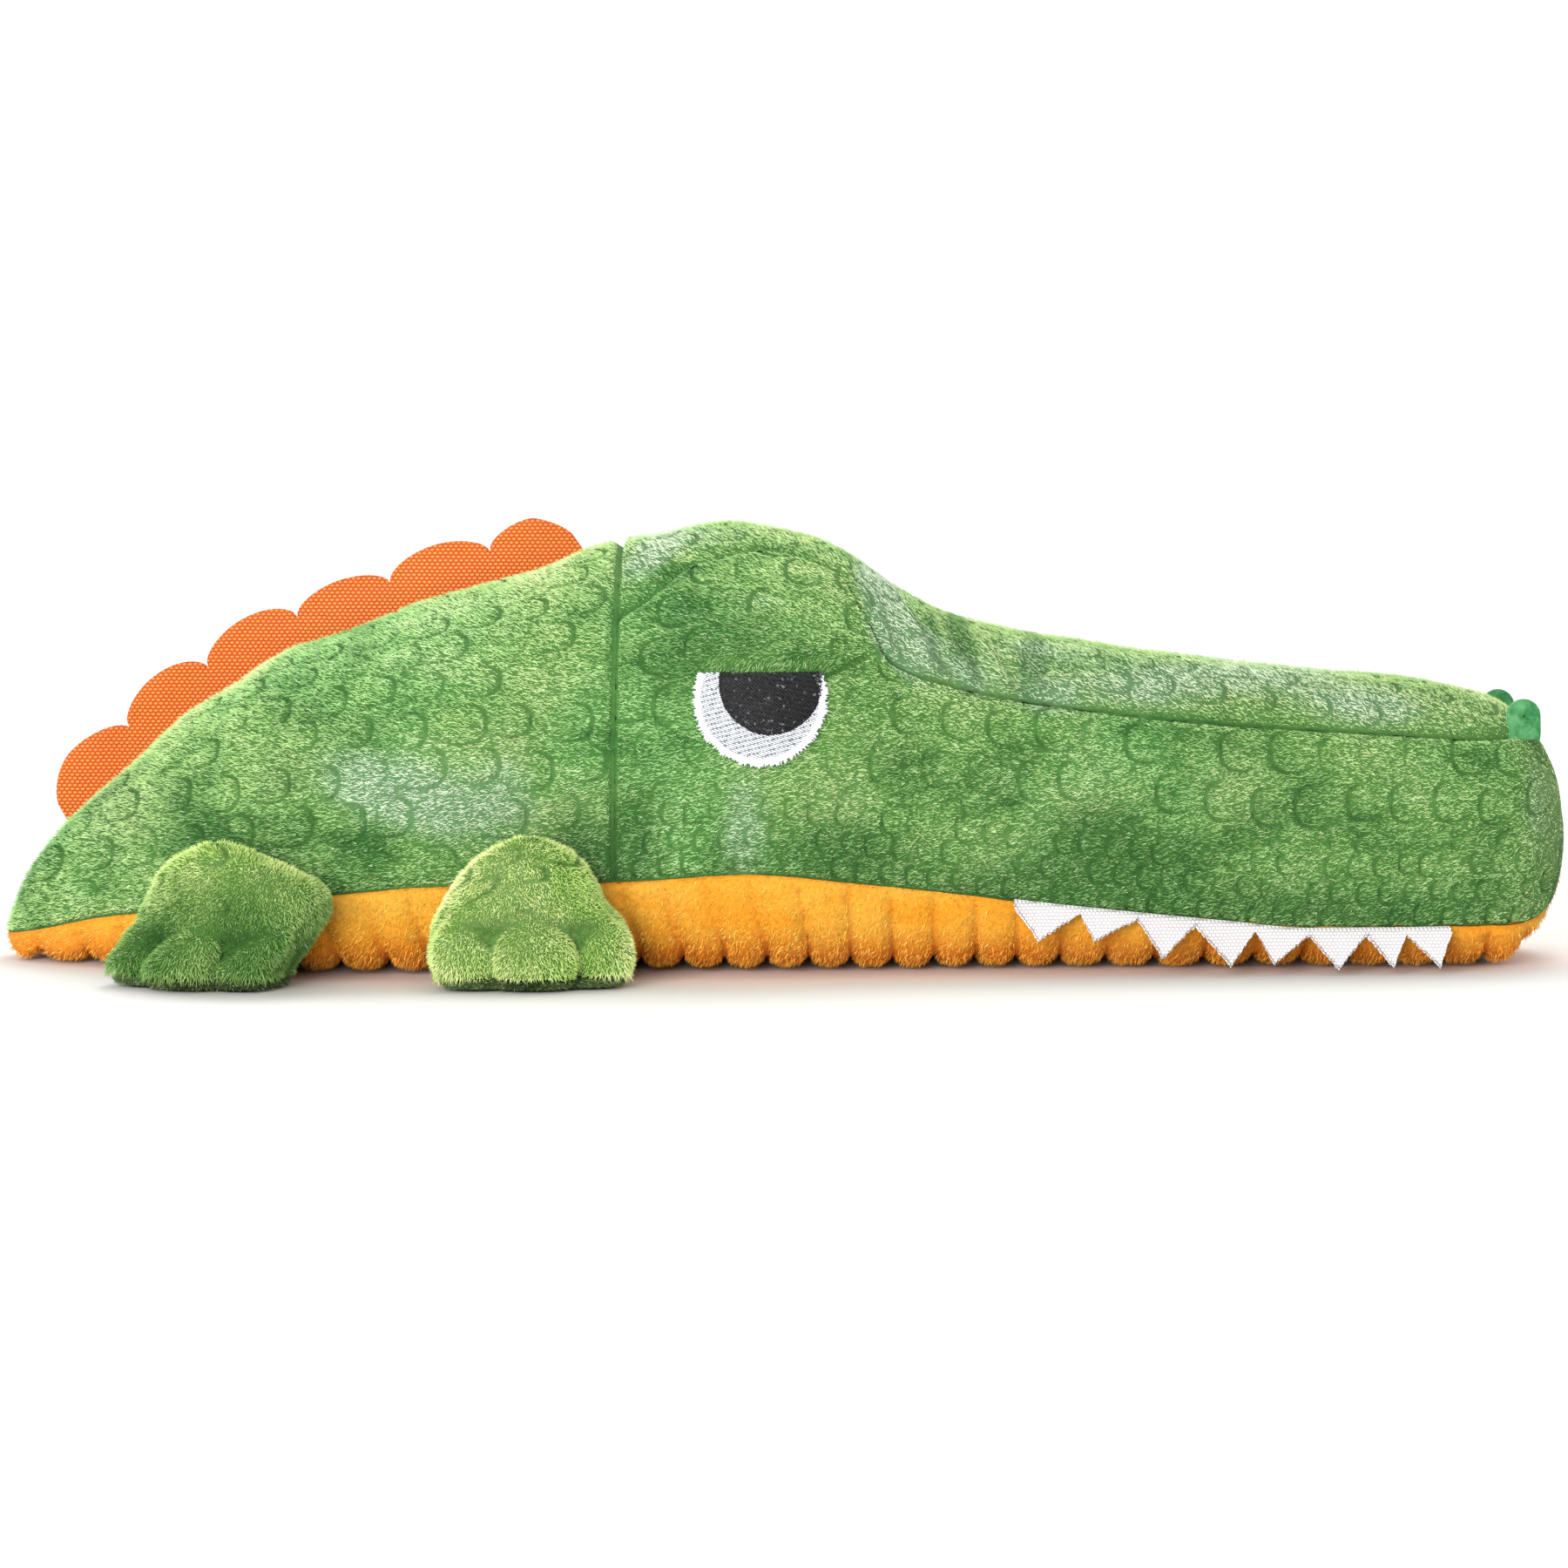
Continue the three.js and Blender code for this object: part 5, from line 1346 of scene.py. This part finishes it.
def eye(side):
    """The white disc with its satin rim, the pupil over it, and the stitches on both."""
    centre = np.array([along_at(EYE_SHARE), EYE_HEIGHT])
    lid = EYE_HEIGHT + LID_RISE
    middle = centre + np.array(PUPIL_SHIFT)
    rim = []
    for angle in np.arange(-math.pi - 0.4, 0.4, 0.3 / WHITE_RADIUS):
        way = np.array([math.cos(angle), math.sin(angle)])
        wobble = 1.1 * (hashed(angle * 100, 2, 3) - 0.6)
        inner = WHITE_RADIUS - 2.5 + 0.5 * hashed(angle * 100, 5, 3)
        a, b = centre + way * inner, centre + way * (WHITE_RADIUS + wobble)
        if b[1] <= lid + 0.2 and a[1] <= lid:
            rim.append((a, b))
    clear = (middle, PUPIL_RADIUS - 0.5)
    white = fill_rows(centre, WHITE_RADIUS - 1.6, lid, *WHITE_ROWS, clear)
    black = fill_rows(middle, PUPIL_RADIUS, lid, *BLACK_ROWS)
    for name, stitches, off, width, material, slot in (
        ("white_fill", white, 0.35, 0.44, white_thread, "white_thread"),
        ("white_rim", rim, 0.55, 0.46, white_thread, "white_thread"),
        ("pupil_fill", black, 0.75, 0.52, black_thread, "black_thread"),
    ):
        dress(threads(f"eye_{name}_{side}", stitches, off, width, material, side), "body", slot)
    for name, disc, radius, off, material, slot in (
        # The white's base is dark: painted shade in the gaps between the white stitches
        ("white", centre, WHITE_RADIUS - 0.5, 0.15, white_bobbin, "white_thread"),
        ("pupil", middle, PUPIL_RADIUS - 0.2, 0.55, black_thread, "black_thread"),
    ):
        label = f"eye_{name}_base_{side}"
        base = eye_base(label, disc, radius, lid, off, material, side == "left")
        dress(base, "body", slot, f"eye_{name}_{side}")


for side in sides:
    eye(side)


# ---- Nostrils ----
def nostril(side):
    """A felt tab, rounded at the top, where the frame has it."""
    low, high = (np.array(c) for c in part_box(f"nostril_{side}"))
    centre, half = (low + high) / 2 / MM, (high - low) / 2 / MM
    width, top = half[0], high[2] / MM
    foot = top - 2 * half[2] + 0.5
    arc = np.linspace(math.pi, 0, 28)
    outline = np.array([
        (-width, foot), (-width * 1.02, foot + 2),
        *((width * math.cos(a), top - width + width * math.sin(a)) for a in arc),
        (width * 1.02, foot + 2), (width, foot),
    ])
    middle = np.array([0, top - width])
    rounding = [(0.05, 1.0), (0.5, 1.0), (0.9, 0.97), (0.98, 0.8), (1.0, 0.4)]
    rings = []
    for grow, out in rounding + [(grow, -out) for grow, out in rounding[::-1]]:
        flat = middle + (outline - middle) * grow
        fluff = 0.12 * (hashed(np.arange(len(flat)), grow * 50, 9) - 0.5)
        y = np.full(len(flat), centre[1] + out * half[1]) + fluff
        rings.append(np.stack([centre[0] + flat[:, 0] + fluff, y, flat[:, 1]], axis=1))
    felt = tube(f"nostril_{side}_felt", np.array(rings), nostril_felt, True)
    dress(felt, "body", "felt", f"nostril_{side}")


for side in sides:
    nostril(side)


# ---- Filling and squeaker ----
def lumpy(name, node, body, seed, draw=0.035, leg=None):
    """A copy of a lot of filling, drawn in a little unevenly as tufts of wadding are."""
    mesh = frame["nodes"][node].data.copy()
    mesh.name = name
    mesh.materials.clear()
    mesh.materials.append(wadding)
    made = placed_object(name, mesh)
    weld = made.modifiers.new("weld", "WELD")
    weld.merge_threshold = 0.00002
    bpy.context.view_layer.update()
    evaluated = made.evaluated_get(bpy.context.evaluated_depsgraph_get())
    plain = bpy.data.meshes.new_from_object(evaluated)
    made.modifiers.clear()
    made.data = plain
    at = np.array([v.co[:] for v in plain.vertices])
    drawn = at + (at.mean(axis=0) - at) * (draw + 0.012 * waves(at / MM, 22, seed))[:, None]
    if leg:
        side, turn, _ = leg_frame(f"{body}_swing")
        lean = follow(leg["slants"], at[:, 2] / MM / leg["height"])
        drawn += lean[:, None] * MM * np.array([math.cos(turn), -side * math.sin(turn), 0])
    plain.vertices.foreach_set("co", drawn.astype(np.float32).ravel())
    plain.shade_smooth()
    dress(made, body, "filling", node)


for number, node in enumerate(("stuffing_rear", "stuffing_front", "stuffing_head")):
    lumpy(node.replace("stuffing", "wadding"), node, "body", 80 + number)
for end, leg in legs:
    for side in sides:
        name = f"leg_{end}_{side}"
        lumpy(f"{name}_wadding", f"{name}_stuffing", name, 90, 0.2, leg)
for node, finish in (
    ("squeaker_bulb", plastic_finish("squeaker_soft", rgb(238, 233, 214), 0.55)),
    ("squeaker_reed", plastic_finish("squeaker_hard", rgb(226, 226, 226), 0.25)),
):
    frame["nodes"][node].data.materials.clear()
    frame["nodes"][node].data.materials.append(finish)


# ---- Studio ----
CAMERA_RISE, CAMERA_AIM, CAMERA_DISTANCE = math.radians(4.4), 0.045, 1.2
FRAME_WIDTH, SENSOR, FRAME_PIXELS = 0.396, 36, 1800
# The floor's colour near the toy is a painted shadow, darker and warmer
FLOOR_PAINTED_SHADOW, FLOOR_FAR = (0.77, 0.75, 0.73, 1), (0.95, 0.95, 0.95, 1)
SKY_BEHIND, SKY_AHEAD = 0.5, 1.68
# Lamps: name, place, aim, size in metres, power in watts
lamps = (
    ("front", (-0.4, -1.3, 0.28), (0, 0, 0.04), 0.8, 27),
    ("top", (0.25, 0.6, 1.4), (0, 0, 0.03), 0.7, 7),
)


def studio():
    scene = bpy.context.scene
    camera = placed_object("camera", bpy.data.cameras.new("camera"))
    back, up = math.cos(CAMERA_RISE), math.sin(CAMERA_RISE)
    camera.location = Vector((0, -CAMERA_DISTANCE * back, CAMERA_AIM + CAMERA_DISTANCE * up))
    camera.rotation_euler = (math.pi / 2 - CAMERA_RISE, 0, 0)
    camera.data.sensor_width = SENSOR
    camera.data.lens = SENSOR * CAMERA_DISTANCE / FRAME_WIDTH
    camera.data.shift_y = -5 / FRAME_PIXELS
    scene.camera = camera
    f = Finish("studio_floor", 0.9, specular=0.0)
    # Painted shadow: the floor darker near the toy, fading out to the far colour
    away = f.between(f.x * f.x + f.y * f.y, 0.1, 1.6)
    f.wear(f.mix(away, FLOOR_PAINTED_SHADOW, FLOOR_FAR))
    reach = 40 / MM
    corners = [(-reach, -reach, 0), (reach, -reach, 0), (reach, reach, 0), (-reach, reach, 0)]
    floor = mesh_object("studio_floor", corners, [(0, 1, 2, 3)], f.material)
    for name, place, aim, size, power in lamps:
        lamp = placed_object(name, bpy.data.lights.new(name, "AREA"))
        lamp.data.shape = "SQUARE"
        lamp.data.size = size
        lamp.data.energy = power
        lamp.location = place
        lamp.rotation_euler = (Vector(aim) - Vector(place)).to_track_quat("-Z", "Y").to_euler()
    world = bpy.data.worlds.new("studio")
    world.use_nodes = True
    sky = Board(world.node_tree)
    ahead = sky.split(sky.node("ShaderNodeTexCoord", out="Generated"))[1]
    seen = sky.node("ShaderNodeLightPath", out="Is Camera Ray")
    lit = sky.between(ahead, -0.5, 0.5, SKY_BEHIND, SKY_AHEAD)
    strength = sky.maths("MAXIMUM", lit, seen * SKY_AHEAD)
    sky.feed(sky.tree.nodes["Background"], {"Color": (1, 1, 1, 1), "Strength": strength})
    scene.world = world
    scene.view_settings.view_transform = "Standard"


studio()
bpy.context.view_layer.update()
